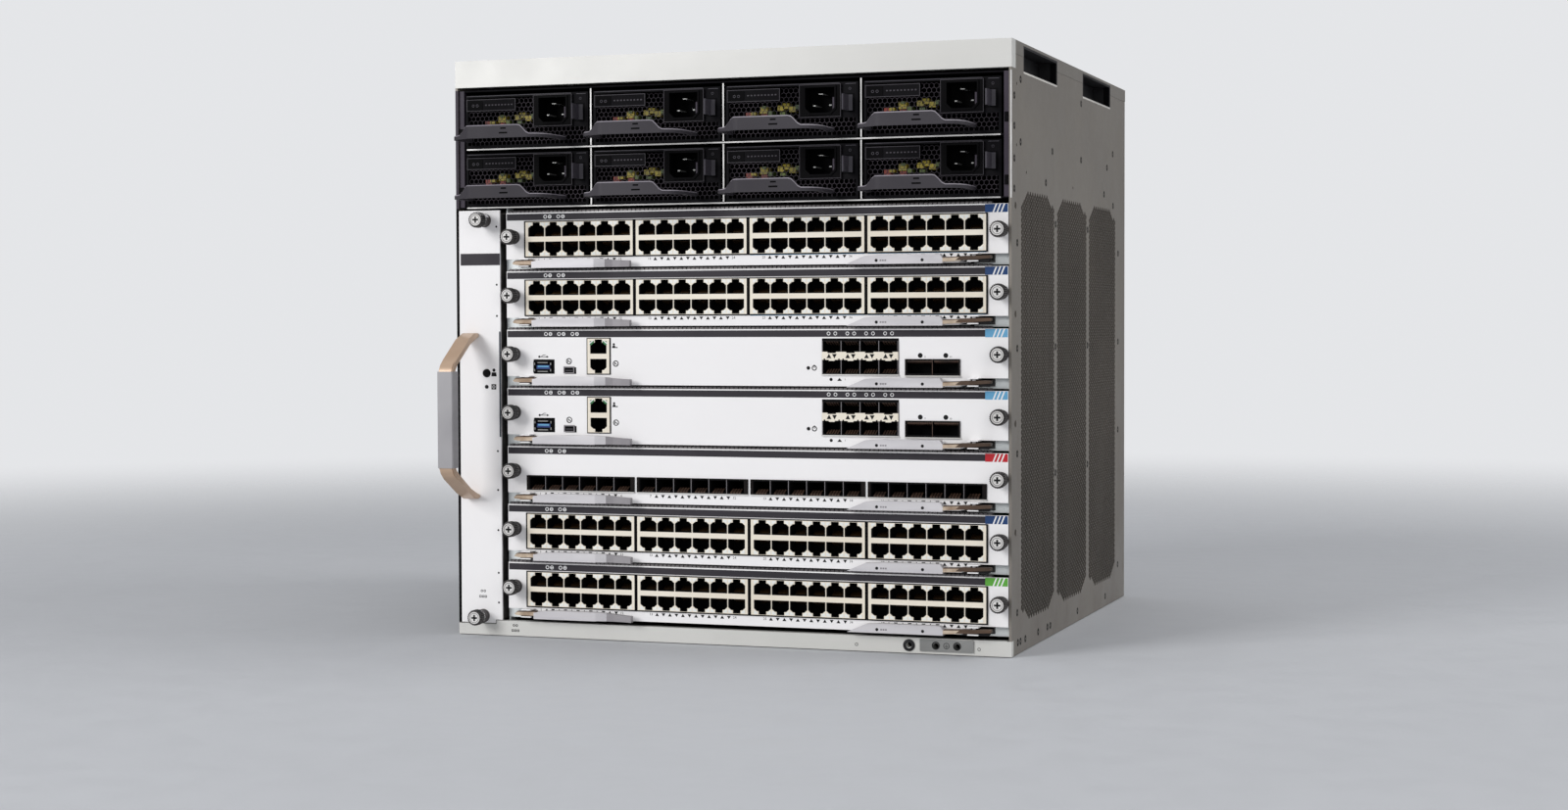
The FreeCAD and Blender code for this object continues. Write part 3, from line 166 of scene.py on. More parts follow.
def makeFinish(name, colour, other, rough=(0.35, 0.5), metallic=0.0, drift=9.0, grain=900.0,
               bump=0.06, stretch=(1, 1, 1), zones=(), glow=0.0, shine=0.5):
    # zones: (axis, edge in mm, colour) repaints what lies beyond a plane.
    finish = bpy.data.materials.new(name)
    finish.use_nodes = True
    finish.diffuse_color = tint(*colour)
    tree = finish.node_tree
    shader = tree.nodes["Principled BSDF"]
    shader.inputs["Metallic"].default_value = metallic
    shader.inputs["Specular IOR Level"].default_value = shine
    place = addNode(tree, "ShaderNodeTexCoord").outputs["Object"]
    mapping = addNode(tree, "ShaderNodeMapping", [("Scale", stretch), ("Vector", place)])
    surface = addNode(tree, "ShaderNodeGroup", node_tree=surfaceGroup)
    surface.inputs["Drift Scale"].default_value = drift
    surface.inputs["Grain Scale"].default_value = grain
    tree.links.new(mapping.outputs["Vector"], surface.inputs["Vector"])
    paint = addNode(tree, "ShaderNodeMix", [
        ("A", tint(*colour)), ("B", tint(*other)), ("Factor", surface.outputs["Tone"])],
        data_type="RGBA").outputs["Result"]
    for axis, edge, over in zones:
        mask = addNode(tree, "ShaderNodeGroup", node_tree=zoneGroup)
        mask.inputs["Axis"].default_value = axis
        mask.inputs["Edge"].default_value = edge / 1000
        tree.links.new(place, mask.inputs["Vector"])
        paint = addNode(tree, "ShaderNodeMix", [
            ("A", paint), ("B", tint(*over)), ("Factor", mask.outputs["Mask"])],
            data_type="RGBA").outputs["Result"]
    tree.links.new(paint, shader.inputs["Base Color"])
    if glow:
        tree.links.new(paint, shader.inputs["Emission Color"])
        shader.inputs["Emission Strength"].default_value = glow
    gloss = addNode(tree, "ShaderNodeMapRange", [
        ("To Min", rough[0]), ("To Max", rough[1]), ("Value", surface.outputs["Wear"])])
    tree.links.new(gloss.outputs["Result"], shader.inputs["Roughness"])
    relief = addNode(tree, "ShaderNodeBump", [
        ("Strength", bump), ("Distance", 0.0002), ("Height", surface.outputs["Height"])])
    tree.links.new(relief.outputs["Normal"], shader.inputs["Normal"])
    finishes[name] = finish


makeFinish("facePlate", (249, 247, 247), (240, 238, 238), (0.32, 0.44), 0.0, 7, bump=0.03,
           stretch=(1, 1, 3))
makeFinish("trayPaint", (100, 98, 96), (86, 84, 83), (0.36, 0.48), 0.0, 7, bump=0.03,
           stretch=(1, 1, 3), zones=(((0, -1, 0), -frontPlane - 2.6, (249, 247, 247)),))
makeFinish("bezelSatin", (222, 221, 217), (212, 211, 206), (0.34, 0.46), 0.1, 3, bump=0.02)
makeFinish("sidePaint", (138, 132, 124), (128, 122, 115), (0.42, 0.55), 0.25, 5, 1500, bump=0.12)
makeFinish("coverPaint", (138, 133, 126), (132, 127, 121), (0.42, 0.55), 0.3, 5, 1500, bump=0.12)
# Honeycomb of the side panels: the panel's paint darkened, as painted shade in and around the
# holes.
makeFinish("combWallShade", (112, 106, 99), (98, 93, 87), (0.5, 0.6), 0.1, 5, 1500,
           bump=0.05, shine=0.3)
makeFinish("stripCharcoal", (52, 48, 54), (44, 41, 47), (0.45, 0.6), bump=0.02, shine=0.3)
makeFinish("jackCream", (246, 238, 222), (236, 226, 208), (0.4, 0.55), bump=0.05)
makeFinish("jackBlack", (13, 12, 14), (9, 8, 10), (0.6, 0.7), bump=0.05, shine=0.06)
makeFinish("contactGold", (74, 54, 32), (88, 62, 32), (0.3, 0.45), 0.6)
makeFinish("boardInside", (22, 70, 44), (14, 52, 34), (0.55, 0.7), bump=0.2, shine=0.08,
           drift=60, zones=(((0, -1, 0), -frontPlane - 27, (12, 12, 14)),))
makeFinish("backplaneGreen", (22, 70, 44), (14, 52, 34), (0.4, 0.55), drift=60, bump=0.2)
makeFinish("cageBrown", (30, 25, 24), (20, 17, 17), (0.55, 0.7), 0.0, 60, shine=0.1)
makeFinish("cageTeeth", (92, 70, 58), (60, 46, 40), (0.35, 0.5), 0.3, 80)
makeFinish("leverMetal", (222, 219, 221), (206, 203, 206), (0.3, 0.42), 0.35, stretch=(1, 1, 8))
makeFinish("leverShade", (156, 152, 155), (132, 128, 132), (0.3, 0.45), 0.2)
makeFinish("clawCopper", (214, 196, 174), (156, 132, 110), (0.3, 0.45), 0.2, 90)
makeFinish("clawShade", (96, 74, 58), (70, 54, 42), (0.35, 0.5), 0.3, 40)
makeFinish("bayDark", (16, 15, 18), (11, 10, 13), (0.6, 0.75), 0.0, shine=0.06)
makeFinish("jambGrey", (66, 58, 70), (54, 47, 58), (0.45, 0.6), 0.0, shine=0.25)
makeFinish("bayEdge", (236, 234, 232), (206, 204, 202), (0.3, 0.45), 0.2, 40)
makeFinish("ledgeMetal", (86, 84, 86), (70, 68, 70), (0.35, 0.5), 0.2,
           zones=(((0, -1, 0), -frontPlane - 17, (250, 255, 255)),))
makeFinish("supplyCase", (17, 16, 19), (12, 11, 14), (0.6, 0.75), 0.0, bump=0.08, shine=0.08)
makeFinish("supplyGrille", (70, 64, 70), (46, 42, 47), (0.5, 0.65), 0.0, 30, bump=0.05, shine=0.1)
makeFinish("supplyPlastic", (9, 8, 10), (6, 6, 7), (0.6, 0.75), bump=0.1, shine=0.06)
makeFinish("supplyLine", (70, 66, 72), (54, 50, 56), (0.4, 0.55), bump=0.05, shine=0.25)
makeFinish("handleGrey", (68, 65, 70), (58, 55, 60), (0.5, 0.6), bump=0.12, shine=0.2)
# A lighter grey for the top edge of the supply handles: a painted highlight.
makeFinish("handleEdgeHighlight", (158, 152, 160), (132, 126, 136), (0.35, 0.5), bump=0.05)
makeFinish("latchGrey", (70, 67, 74), (58, 55, 62), (0.4, 0.55), bump=0.1, shine=0.25)
makeFinish("partYellow", (176, 158, 44), (120, 110, 40), (0.4, 0.6), drift=80)
makeFinish("partGreen", (98, 112, 46), (56, 74, 36), (0.4, 0.6), drift=80)
makeFinish("partRed", (150, 50, 34), (100, 38, 28), (0.4, 0.6), drift=80)
makeFinish("tagNavy", (14, 62, 118), (12, 54, 104), (0.3, 0.45), bump=0.02)
makeFinish("tagSky", (112, 178, 216), (100, 166, 206), (0.3, 0.45), bump=0.02)
makeFinish("tagRed", (206, 24, 40), (188, 20, 34), (0.3, 0.45), bump=0.02)
makeFinish("tagGreen", (98, 178, 62), (86, 162, 54), (0.3, 0.45), bump=0.02)
makeFinish("markWhite", (248, 248, 248), (240, 240, 240), (0.4, 0.5), bump=0.02)
makeFinish("markDark", (22, 21, 23), (16, 15, 17), (0.45, 0.55), bump=0.02, shine=0.2)
makeFinish("glowBlue", (92, 176, 226), (120, 196, 236), (0.35, 0.5), bump=0.02, glow=0.15)
makeFinish("lampGreen", (60, 130, 78), (44, 104, 60), (0.3, 0.4), glow=0.05)
makeFinish("lightPipe", (248, 249, 246), (236, 238, 234), (0.2, 0.3), bump=0.02)
makeFinish("usbBlue", (12, 62, 136), (10, 52, 118), (0.35, 0.5), bump=0.03)
makeFinish("plugMetal", (158, 158, 156), (136, 136, 134), (0.3, 0.45), 0.5)
makeFinish("lipBright", (232, 230, 226), (206, 203, 198), (0.25, 0.4), 0.3)
makeFinish("screwBright", (236, 234, 232), (214, 211, 208), (0.3, 0.45), 0.1)
makeFinish("screwRib", (84, 79, 78), (56, 52, 52), (0.35, 0.5), 0.3)
makeFinish("screwBlack", (18, 17, 17), (12, 11, 11), (0.6, 0.7), shine=0.1)
makeFinish("fanDark", (10, 10, 12), (7, 7, 8), (0.6, 0.75), bump=0.05, shine=0.05)
makeFinish("slotBlue", (60, 66, 78), (48, 54, 66), (0.4, 0.55), bump=0.02)
makeFinish("handleCopper", (214, 188, 164), (196, 166, 140), (0.3, 0.45), 0.25, 20)
makeFinish("gripPale", (172, 170, 172), (154, 152, 155), (0.4, 0.5), drift=16, bump=0.06)
makeFinish("cupDark", (42, 41, 43), (32, 31, 33), (0.5, 0.65), bump=0.1, shine=0.2)
makeFinish("cupLipHighlight", (232, 228, 220), (206, 202, 196), (0.35, 0.5), bump=0.08)
makeFinish("springSteel", (128, 124, 124), (92, 88, 90), (0.28, 0.42), 0.6)
print("finishes made:", len(finishes))


def addBox(bm, u0, u1, v0, v1, w0, w1, finish=0):
    corners = [bm.verts.new((u, v, w)) for w in (w0, w1) for v in (v0, v1) for u in (u0, u1)]
    for face in ((0, 2, 3, 1), (4, 5, 7, 6), (0, 1, 5, 4), (2, 6, 7, 3), (0, 4, 6, 2),
                 (1, 3, 7, 5)):
        bm.faces.new([corners[index] for index in face]).material_index = finish


def bridge(bm, loops, finishOf=lambda row, corner: 0, turned=False):
    # Faces between loops of equally many corners.
    for row, (first, second) in enumerate(zip(loops, loops[1:])):
        for corner in range(len(first)):
            after = (corner + 1) % len(first)
            corners = (first[corner], first[after], second[after], second[corner])
            if turned:
                corners = corners[:1] + corners[:0:-1]
            bm.faces.new(corners).material_index = finishOf(row, corner)


def addPrism(bm, outline, low, high, finish=0, axis="w"):
    # Outline in the plane across the axis, in the axes' own turning order.
    turn = {"w": lambda a, b, c: (a, b, c), "u": lambda a, b, c: (c, a, b),
            "v": lambda a, b, c: (b, c, a)}[axis]
    area = sum(a[0] * b[1] - b[0] * a[1] for a, b in zip(outline, outline[1:] + outline[:1]))
    if area < 0:
        outline = outline[::-1]
    under = [bm.verts.new(turn(a, b, low)) for a, b in outline]
    over = [bm.verts.new(turn(a, b, high)) for a, b in outline]
    for cap in (over, under[::-1]):
        bm.faces.new(cap).material_index = finish
    bridge(bm, [under, over], lambda row, corner: finish)


def addTurned(bm, u, v, profile, sides=16, finish=0, first=0.0):
    # Profile: (radius, w) from the back to the tip, turned about an axis along w.
    rings = []
    for radius, w in profile:
        if radius == 0:
            rings.append([bm.verts.new((u, v, w))])
        else:
            rings.append([bm.verts.new((u + radius * math.cos(first + math.tau * step / sides),
                                        v + radius * math.sin(first + math.tau * step / sides), w))
                          for step in range(sides)])
    for below, above in zip(rings, rings[1:]):
        for step in range(sides):
            after = (step + 1) % sides
            if len(below) == 1:
                corners = (below[0], above[step], above[after])
            elif len(above) == 1:
                corners = (below[step], below[after], above[0])
            else:
                corners = (below[step], below[after], above[after], above[step])
            if len(corners) == 3 and len(below) == 1:
                corners = (below[0], above[after], above[step])
            bm.faces.new(corners).material_index = finish


def addPlate(bm, outlines, w0, w1, finish=0):
    # Flat plate with holes, from a filled curve.
    curve = bpy.data.curves.new("plateOutline", "CURVE")
    curve.dimensions = "2D"
    curve.fill_mode = "BOTH"
    curve.extrude = (w1 - w0) / 2
    for outline in outlines:
        spline = curve.splines.new("POLY")
        spline.points.add(len(outline) - 1)
        for point, (u, v) in zip(spline.points, outline):
            point.co = (u, v, 0, 1)
        spline.use_cyclic_u = True
    holder = bpy.data.objects.new("plateOutline", curve)
    mesh = bpy.data.meshes.new_from_object(holder)
    mesh.transform(Matrix.Translation((0, 0, (w0 + w1) / 2)))
    part = bmesh.new()
    part.from_mesh(mesh)
    bmesh.ops.remove_doubles(part, verts=part.verts, dist=0.0005)
    bmesh.ops.recalc_face_normals(part, faces=part.faces)
    for face in part.faces:
        face.material_index = finish
        face.smooth = False
    part.to_mesh(mesh)
    part.free()
    bm.from_mesh(mesh)
    bpy.data.objects.remove(holder)
    bpy.data.curves.remove(curve)
    bpy.data.meshes.remove(mesh)


def addText(bm, words, size, u, v, w, finish=0, middle=True):
    curve = bpy.data.curves.new("figures", "FONT")
    curve.body = words
    curve.size = size
    curve.resolution_u = 1
    curve.align_x = "CENTER" if middle else "LEFT"
    curve.align_y = "CENTER"
    curve.extrude = 0.03
    holder = bpy.data.objects.new("figures", curve)
    mesh = bpy.data.meshes.new_from_object(holder)
    mesh.transform(Matrix.Translation((u, v, w)))
    first = len(bm.faces)
    bm.from_mesh(mesh)
    bm.faces.ensure_lookup_table()
    for face in bm.faces[first:]:
        face.material_index = finish
    bpy.data.objects.remove(holder)
    bpy.data.curves.remove(curve)
    bpy.data.meshes.remove(mesh)


def ring(u, v, radius, sides=16):
    return [(u + radius * math.cos(math.tau * step / sides),
             v + radius * math.sin(math.tau * step / sides)) for step in range(sides)]


def rectangle(u0, u1, v0, v1):
    return [(u0, v0), (u1, v0), (u1, v1), (u0, v1)]


ink = (0, 0.08)  # Printed marks, from and to along w.


def addDisc(bm, u, v, radius, sides, w0, w1, finish=0):
    addPlate(bm, [ring(u, v, radius, sides)], w0, w1, finish)


def addRing(bm, u, v, outer, inner, sides, w0, w1, finish=0):
    addPlate(bm, [ring(u, v, outer, sides), ring(u, v, inner, sides)], w0, w1, finish)


def addRim(bm, u0, u1, v0, v1, inset, w0, w1, finish=0):
    inside = rectangle(u0 + inset, u1 - inset, v0 + inset, v1 - inset)
    addPlate(bm, [rectangle(u0, u1, v0, v1), inside], w0, w1, finish)


def addIcons(bm, rounds, middle, squares, low, w0, w1, finish=0):
    # A row of small rings over a row of small frames.
    for u in rounds:
        addRing(bm, u, middle, 1.0, 0.55, 10, w0, w1, finish)
    for u in squares:
        addPlate(bm, [rectangle(u - 0.9, u + 0.9, low, low + 1.8),
                      rectangle(u - 0.45, u + 0.45, low + 0.4, low + 1.4)], w0, w1, finish)


def addPad(bm, u, v, half, halfHigh, w0, w1, finish=0):
    addBox(bm, u - half, u + half, v - halfHigh, v + halfHigh, w0, w1, finish)


def toMesh(bm, name):
    mesh = bpy.data.meshes.new(name)
    bm.to_mesh(mesh)
    bm.free()
    return mesh


def placedMesh(name, source, origin, side=onFront):
    # source: a bmesh, which is used up, or a mesh, which is copied.
    if isinstance(source, bmesh.types.BMesh):
        mesh = toMesh(source, name)
    else:
        mesh = source.copy()
        mesh.name = name
    mesh.transform(Matrix.Scale(0.001, 4) @ Matrix.Translation(origin) @ side)
    mesh.update()
    return mesh


def finishPiece(name, source, origin, body, finishNames, side=onFront, smooth=0):
    mesh = placedMesh(name, source, origin, side)
    chosen = [face.material_index for face in mesh.polygons]
    mesh.materials.clear()
    for finish in finishNames:
        mesh.materials.append(finishes[finish])
    mesh.polygons.foreach_set("material_index", [min(index, len(finishNames) - 1)
                                                 for index in chosen])
    if smooth:
        mesh.shade_smooth()
        mesh.set_sharp_from_angle(angle=math.radians(smooth))
    piece = bpy.data.objects.new(name, mesh)
    scene.collection.objects.link(piece)
    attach(piece, body)
    return piece


def cardPiece(card, label, source, finishNames, smooth=0):
    finishPiece(card["body"] + label, source, card["origin"], card["body"], finishNames,
                smooth=smooth)


def makeCopyTree():
    # Copies of a piece on a grid, with wider gaps between groups, every other column shifted,
    # and the field's corners cut off.
    tree, start, end = newGroup(
        "copiesOnGrid", "GeometryNodeTree",
        [("Geometry", "NodeSocketGeometry", None), ("Copied Piece", "NodeSocketObject", None),
         ("Columns", "NodeSocketInt", 1), ("Rows", "NodeSocketInt", 1),
         ("Column Pitch", "NodeSocketFloat", 1.0), ("Row Pitch", "NodeSocketFloat", 1.0),
         ("Group Size", "NodeSocketInt", 1000), ("Group Gap", "NodeSocketFloat", 0.0),
         ("Odd Shift", "NodeSocketFloat", 0.0), ("Corner Width", "NodeSocketFloat", 1.0),
         ("Corner Height", "NodeSocketFloat", 1.0), ("Corner Limit", "NodeSocketFloat", 10000.0),
         ("Finish", "NodeSocketMaterial", None)],
        [("Geometry", "NodeSocketGeometry")])

    def value(operation, first, second=None):
        feeds = [(socket, source) for socket, source in enumerate((first, second))
                 if source is not None]
        return addNode(tree, "ShaderNodeMath", feeds, operation=operation).outputs["Value"]

    sizes = start.outputs
    index = addNode(tree, "GeometryNodeInputIndex").outputs["Index"]
    column = value("MODULO", index, sizes["Columns"])
    row = value("FLOOR", value("DIVIDE", value("ADD", index, 0.01), sizes["Columns"]))
    group = value("FLOOR", value("DIVIDE", value("ADD", column, 0.01), sizes["Group Size"]))
    odd = value("MODULO", column, 2)
    along = value("ADD", value("MULTIPLY", column, sizes["Column Pitch"]),
                  value("MULTIPLY", group, sizes["Group Gap"]))
    across = value("ADD", value("MULTIPLY", row, sizes["Row Pitch"]),
                   value("MULTIPLY", odd, sizes["Odd Shift"]))
    halfAlong = value("MULTIPLY", value("SUBTRACT", sizes["Columns"], 1),
                      value("MULTIPLY", sizes["Column Pitch"], 0.5))
    halfAcross = value("ADD", value("MULTIPLY", value("SUBTRACT", sizes["Rows"], 1),
                                    value("MULTIPLY", sizes["Row Pitch"], 0.5)),
                       value("MULTIPLY", sizes["Odd Shift"], 0.5))
    reach = value("ADD",
                  value("DIVIDE", value("ABSOLUTE", value("SUBTRACT", along, halfAlong)),
                        sizes["Corner Width"]),
                  value("DIVIDE", value("ABSOLUTE", value("SUBTRACT", across, halfAcross)),
                        sizes["Corner Height"]))
    beyond = value("GREATER_THAN", reach, sizes["Corner Limit"])
    spot = addNode(tree, "ShaderNodeCombineXYZ", [("X", along), ("Y", across)])
    line = addNode(tree, "GeometryNodeMeshLine",
                   [("Count", value("MULTIPLY", sizes["Columns"], sizes["Rows"]))])
    marked = addNode(tree, "GeometryNodeStoreNamedAttribute", [
        ("Name", "beyond"), ("Geometry", line.outputs["Mesh"]), ("Value", beyond)],
        data_type="FLOAT")
    spread = addNode(tree, "GeometryNodeSetPosition", [
        ("Geometry", marked.outputs["Geometry"]), ("Position", spot.outputs["Vector"])])
    mark = addNode(tree, "GeometryNodeInputNamedAttribute", [("Name", "beyond")],
                   data_type="FLOAT")
    prune = addNode(tree, "GeometryNodeDeleteGeometry", [
        ("Geometry", spread.outputs["Geometry"]), ("Selection", mark.outputs["Attribute"])])
    piece = addNode(tree, "GeometryNodeObjectInfo", [("Object", sizes["Copied Piece"])])
    copies = addNode(tree, "GeometryNodeInstanceOnPoints", [
        ("Points", prune.outputs["Geometry"]), ("Instance", piece.outputs["Geometry"])])
    realize = addNode(tree, "GeometryNodeRealizeInstances",
                      [("Geometry", copies.outputs["Instances"])])
    coat = addNode(tree, "GeometryNodeSetMaterial", [
        ("Geometry", realize.outputs["Geometry"]), ("Material", sizes["Finish"])])
    tree.links.new(coat.outputs["Geometry"], end.inputs["Geometry"])
    return tree


copyTree = makeCopyTree()


def copiesOf(unit, sizes, finish="facePlate", merge=False):
    # unit: bmesh of one copy. Returns a plain mesh of all copies in millimetres.
    unitHolder = bpy.data.objects.new("copyUnit", toMesh(unit, "copyUnit"))
    holder = bpy.data.objects.new("copyField", bpy.data.meshes.new("copyField"))
    for item in (unitHolder, holder):
        scene.collection.objects.link(item)
    maker = holder.modifiers.new("copies", "NODES")
    maker.node_group = copyTree
    chosen = dict(sizes)
    chosen["Copied Piece"] = unitHolder
    chosen["Finish"] = finishes[finish]
    for item in copyTree.interface.items_tree:
        if item.item_type == "SOCKET" and item.in_out == "INPUT" and item.name in chosen:
            given = chosen[item.name]
            if item.socket_type == "NodeSocketFloat":
                given = float(given)
            maker[item.identifier] = given
    holder.update_tag()
    graph = bpy.context.evaluated_depsgraph_get()
    mesh = bpy.data.meshes.new_from_object(holder.evaluated_get(graph))
    bpy.data.objects.remove(holder)
    bpy.data.objects.remove(unitHolder)
    if merge:
        whole = bmesh.new()
        whole.from_mesh(mesh)
        bmesh.ops.remove_doubles(whole, verts=whole.verts, dist=0.002)
        whole.to_mesh(mesh)
        whole.free()
    return mesh


# Studio: camera, lamps, floor.
cameraPlace = {"focal": 55.14, "sensor": 36.0, "place": (0.6294, -1.8785, 0.23935),
               "azimuth": 19.19, "pitch": -1.93, "roll": -0.18}
azimuth, pitch, roll = (math.radians(cameraPlace[key]) for key in ("azimuth", "pitch", "roll"))
forward = Vector((-math.sin(azimuth) * math.cos(pitch), math.cos(azimuth) * math.cos(pitch),
                  math.sin(pitch)))
sideways = forward.cross(Vector((0, 0, 1))).normalized()
upwards = sideways.cross(forward)
turned = Matrix((sideways, upwards, -forward)).transposed().to_4x4()
turned = turned @ Matrix.Rotation(roll, 4, "Z")
camera = bpy.data.objects.new("camera", bpy.data.cameras.new("camera"))
camera.data.lens = cameraPlace["focal"]
camera.data.sensor_width = cameraPlace["sensor"]
camera.data.clip_start = 0.05
camera.matrix_world = Matrix.Translation(cameraPlace["place"]) @ turned
scene.collection.objects.link(camera)
scene.camera = camera

lamps = [
    {"name": "keyLamp", "place": (-2.2, -3.2, 1.7), "size": 1.8, "power": 94},
    {"name": "fillLamp", "place": (1.9, -2.6, 0.9), "size": 1.6, "power": 13},
    {"name": "topLamp", "place": (0.1, 0.2, 2.4), "size": 2.0, "power": 12},
    {"name": "sideLamp", "place": (2.6, 0.7, 2.1), "size": 1.6, "power": 30},
]
for lamp in lamps:
    light = bpy.data.lights.new(lamp["name"], "AREA")
    light.size = lamp["size"]
    light.energy = lamp["power"]
    holder = bpy.data.objects.new(lamp["name"], light)
    aim = Vector((0, 0, 0.22)) - Vector(lamp["place"])
    holder.matrix_world = (Matrix.Translation(lamp["place"])
                           @ aim.to_track_quat("-Z", "Y").to_matrix().to_4x4())
    scene.collection.objects.link(holder)

world = bpy.data.worlds.new("studio")
scene.world = world
world.use_nodes = True
airTree = world.node_tree
air = airTree.nodes["Background"]
air.inputs["Color"].default_value = (0.8, 0.82, 0.86, 1)
air.inputs["Strength"].default_value = 0.34
seen = addNode(airTree, "ShaderNodeBackground",
               [("Color", (0.78, 0.79, 0.81, 1)), ("Strength", 1.0)])
rays = addNode(airTree, "ShaderNodeLightPath").outputs
either = addNode(airTree, "ShaderNodeMath", [
    (0, rays["Is Camera Ray"]), (1, rays["Is Transmission Ray"])], operation="MAXIMUM")
mixer = addNode(airTree, "ShaderNodeMixShader", [
    ("Fac", either.outputs["Value"]), (1, air.outputs["Background"]),
    (2, seen.outputs["Background"])])
airTree.links.new(mixer.outputs["Shader"], airTree.nodes["World Output"].inputs["Surface"])
scene.view_settings.view_transform = "Standard"

floorMesh = bpy.data.meshes.new("floor")
floorMesh.from_pydata([(-8, -8, -0.0005), (8, -8, -0.0005), (8, 8, -0.0005), (-8, 8, -0.0005)], [],
                      [(0, 1, 2, 3)])
floor = bpy.data.objects.new("floor", floorMesh)
makeFinish("floorPale", (205, 207, 211), (200, 202, 206), (0.6, 0.8), drift=0.6, bump=0.0)
floorMesh.materials.append(finishes["floorPale"])
floorTree = finishes["floorPale"].node_tree
spot = addNode(floorTree, "ShaderNodeTexCoord")
distance = addNode(floorTree, "ShaderNodeVectorMath", [(0, spot.outputs["Object"])],
                   operation="LENGTH")
fade = addNode(floorTree, "ShaderNodeMapRange", [
    ("Value", distance.outputs["Value"]), ("From Min", 0.7), ("From Max", 2.6)],
    interpolation_type="SMOOTHSTEP")
clear = addNode(floorTree, "ShaderNodeBsdfTransparent")
join = addNode(floorTree, "ShaderNodeMixShader", [
    ("Fac", fade.outputs["Result"]), (1, floorTree.nodes["Principled BSDF"].outputs["BSDF"]),
    (2, clear.outputs["BSDF"])])
floorTree.links.new(join.outputs["Shader"], floorTree.nodes["Material Output"].inputs["Surface"])
scene.collection.objects.link(floor)
print("camera, lamps and floor set")

# Finishes of the pieces that keep their own shape.
keptFinishes = {
    "top_cover": "coverPaint", "base_pan": "sidePaint", "rear_panel": "sidePaint",
    "top_bezel": "bezelSatin", "bottom_bezel": "bezelSatin", "ground_pad": "plugMetal",
    "power_bay_frame": "bayDark", "fan_bay_wall": "ledgeMetal", "card_ledges": "ledgeMetal",
    "backplane": "backplaneGreen", "hand_hold_cups": "cupDark",
    "fan_tray_button": "screwBlack",
}
endings = {"tray": "trayPaint", "board": "boardInside", "lever": "leverMetal",
           "latch": "latchGrey"}
for node, item in frame["nodes"].items():
    finish = keptFinishes.get(node) or endings.get(node.split("_")[-1])
    if finish:
        for place in item.material_slots:
            place.material = finishes[finish]
print("finishes put on the kept pieces")


# Side panels: sheet with three honeycomb windows.
sideVents = {"fields": (28.5, 146.0, 263.5), "columns": 28, "rows": 71, "top": 108.5,
             "across": 4.4, "hole": 3.7, "cornerWidth": 17.0, "cornerHeight": 9.2,
             "cornerSlack": 0.94, "sheet": 1.9, "seamHeight": 10.2, "backGap": 1.5}
cellAcross = sideVents["across"]
cellSide = cellAcross / math.sqrt(3)
cellPitch = cellAcross * 1.5 / math.sqrt(3)
ventHeight = (sideVents["rows"] - 1) * cellAcross
ventFoot = chassisTop - sideVents["top"] - ventHeight - cellAcross
ventHalf = ((sideVents["columns"] - 1) * cellPitch / 2, (ventHeight + cellAcross / 2) / 2)


def cornerReach(alongVent, upVent):
    # Grows towards the corners of a field, which are cut off at ventLimit.
    return alongVent / sideVents["cornerWidth"] + upVent / sideVents["cornerHeight"]


ventLimit = cornerReach(*ventHalf) - sideVents["cornerSlack"]


def hexagon(u, v, across):
    side = across / math.sqrt(3)
    return [(u + side * math.cos(math.radians(60 * step)),
             v + side * math.sin(math.radians(60 * step))) for step in range(6)]


def honeycombEdge(field):
    # Outline of all the cells of one field together, for the sheet's window.
    sides = {}
    for column in range(sideVents["columns"]):
        for row in range(sideVents["rows"]):
            u = column * cellPitch
            v = row * cellAcross + (column % 2) * cellAcross / 2
            if cornerReach(abs(u - ventHalf[0]), abs(v - ventHalf[1])) > ventLimit:
                continue
            corners = [(round(a, 2), round(b, 2)) for a, b in hexagon(u, v, cellAcross)]
            for a, b in zip(corners, corners[1:] + corners[:1]):
                if (b, a) in sides:
                    del sides[(b, a)]
                else:
                    sides[(a, b)] = True
    onward = dict(sides.keys())
    point = next(iter(onward))
    outline = []
    while point in onward:
        outline.append(point)
        point = onward.pop(point)
    return [(a + field, b + ventFoot + cellAcross / 2) for a, b in outline]


def combCell(across, hole, depth):
    unit = bmesh.new()
    outer, inner = hexagon(0, 0, across), hexagon(0, 0, hole)
    loops = [[unit.verts.new((a, b, w)) for a, b in outline]
             for outline, w in ((outer, 0), (inner, 0), (inner, -depth), (outer, -depth))]
    bridge(unit, loops)
    return unit


sideDetails = {
    "bracketHoles": [(11.5, 118.4), (11.5, 196.4), (11.5, 275.2), (11.5, 353.6)],
    "screws": [(8, 40), (8, 61.6), (8, 84.8), (8, 106.4), (17, 145), (17, 221), (17, 297),
               (17, 412), (27, 72), (130, 72), (233, 72), (336, 72), (27, 27), (233, 27),
               (360, 59), (108, 97), (324, 95), (362, 103), (384, 143), (384, 219), (384, 295),
               (384, 412), (141, 127), (141, 221), (141, 318), (258.5, 127), (258.5, 221),
               (258.5, 318), (19, 434), (27, 434), (42, 434), (83, 434), (114, 434), (124, 434),
               (221, 434), (331, 434)],
    "holes": [(15, 31), (15, 75), (203, 96), (45, 93)],
    "bracketRadius": 2.6, "holeRadius": 1.3, "holeShadeMargin": 0.1,
}
holdWindows = {"starts": (36.0, 238.8), "length": 110.0, "low": 22.0, "lipHigh": 1.5, "edge": 1.0}
holdLow = chassisTop - holdWindows["low"]


def addAlong(bm, sign, near, far, v0, v1, w0, w1, finish=0):
    # near and far are distances behind the front; sign turns them into u.
    u0, u1 = sorted((sign * near, sign * far))
    addBox(bm, u0, u1, v0, v1, w0, w1, finish)


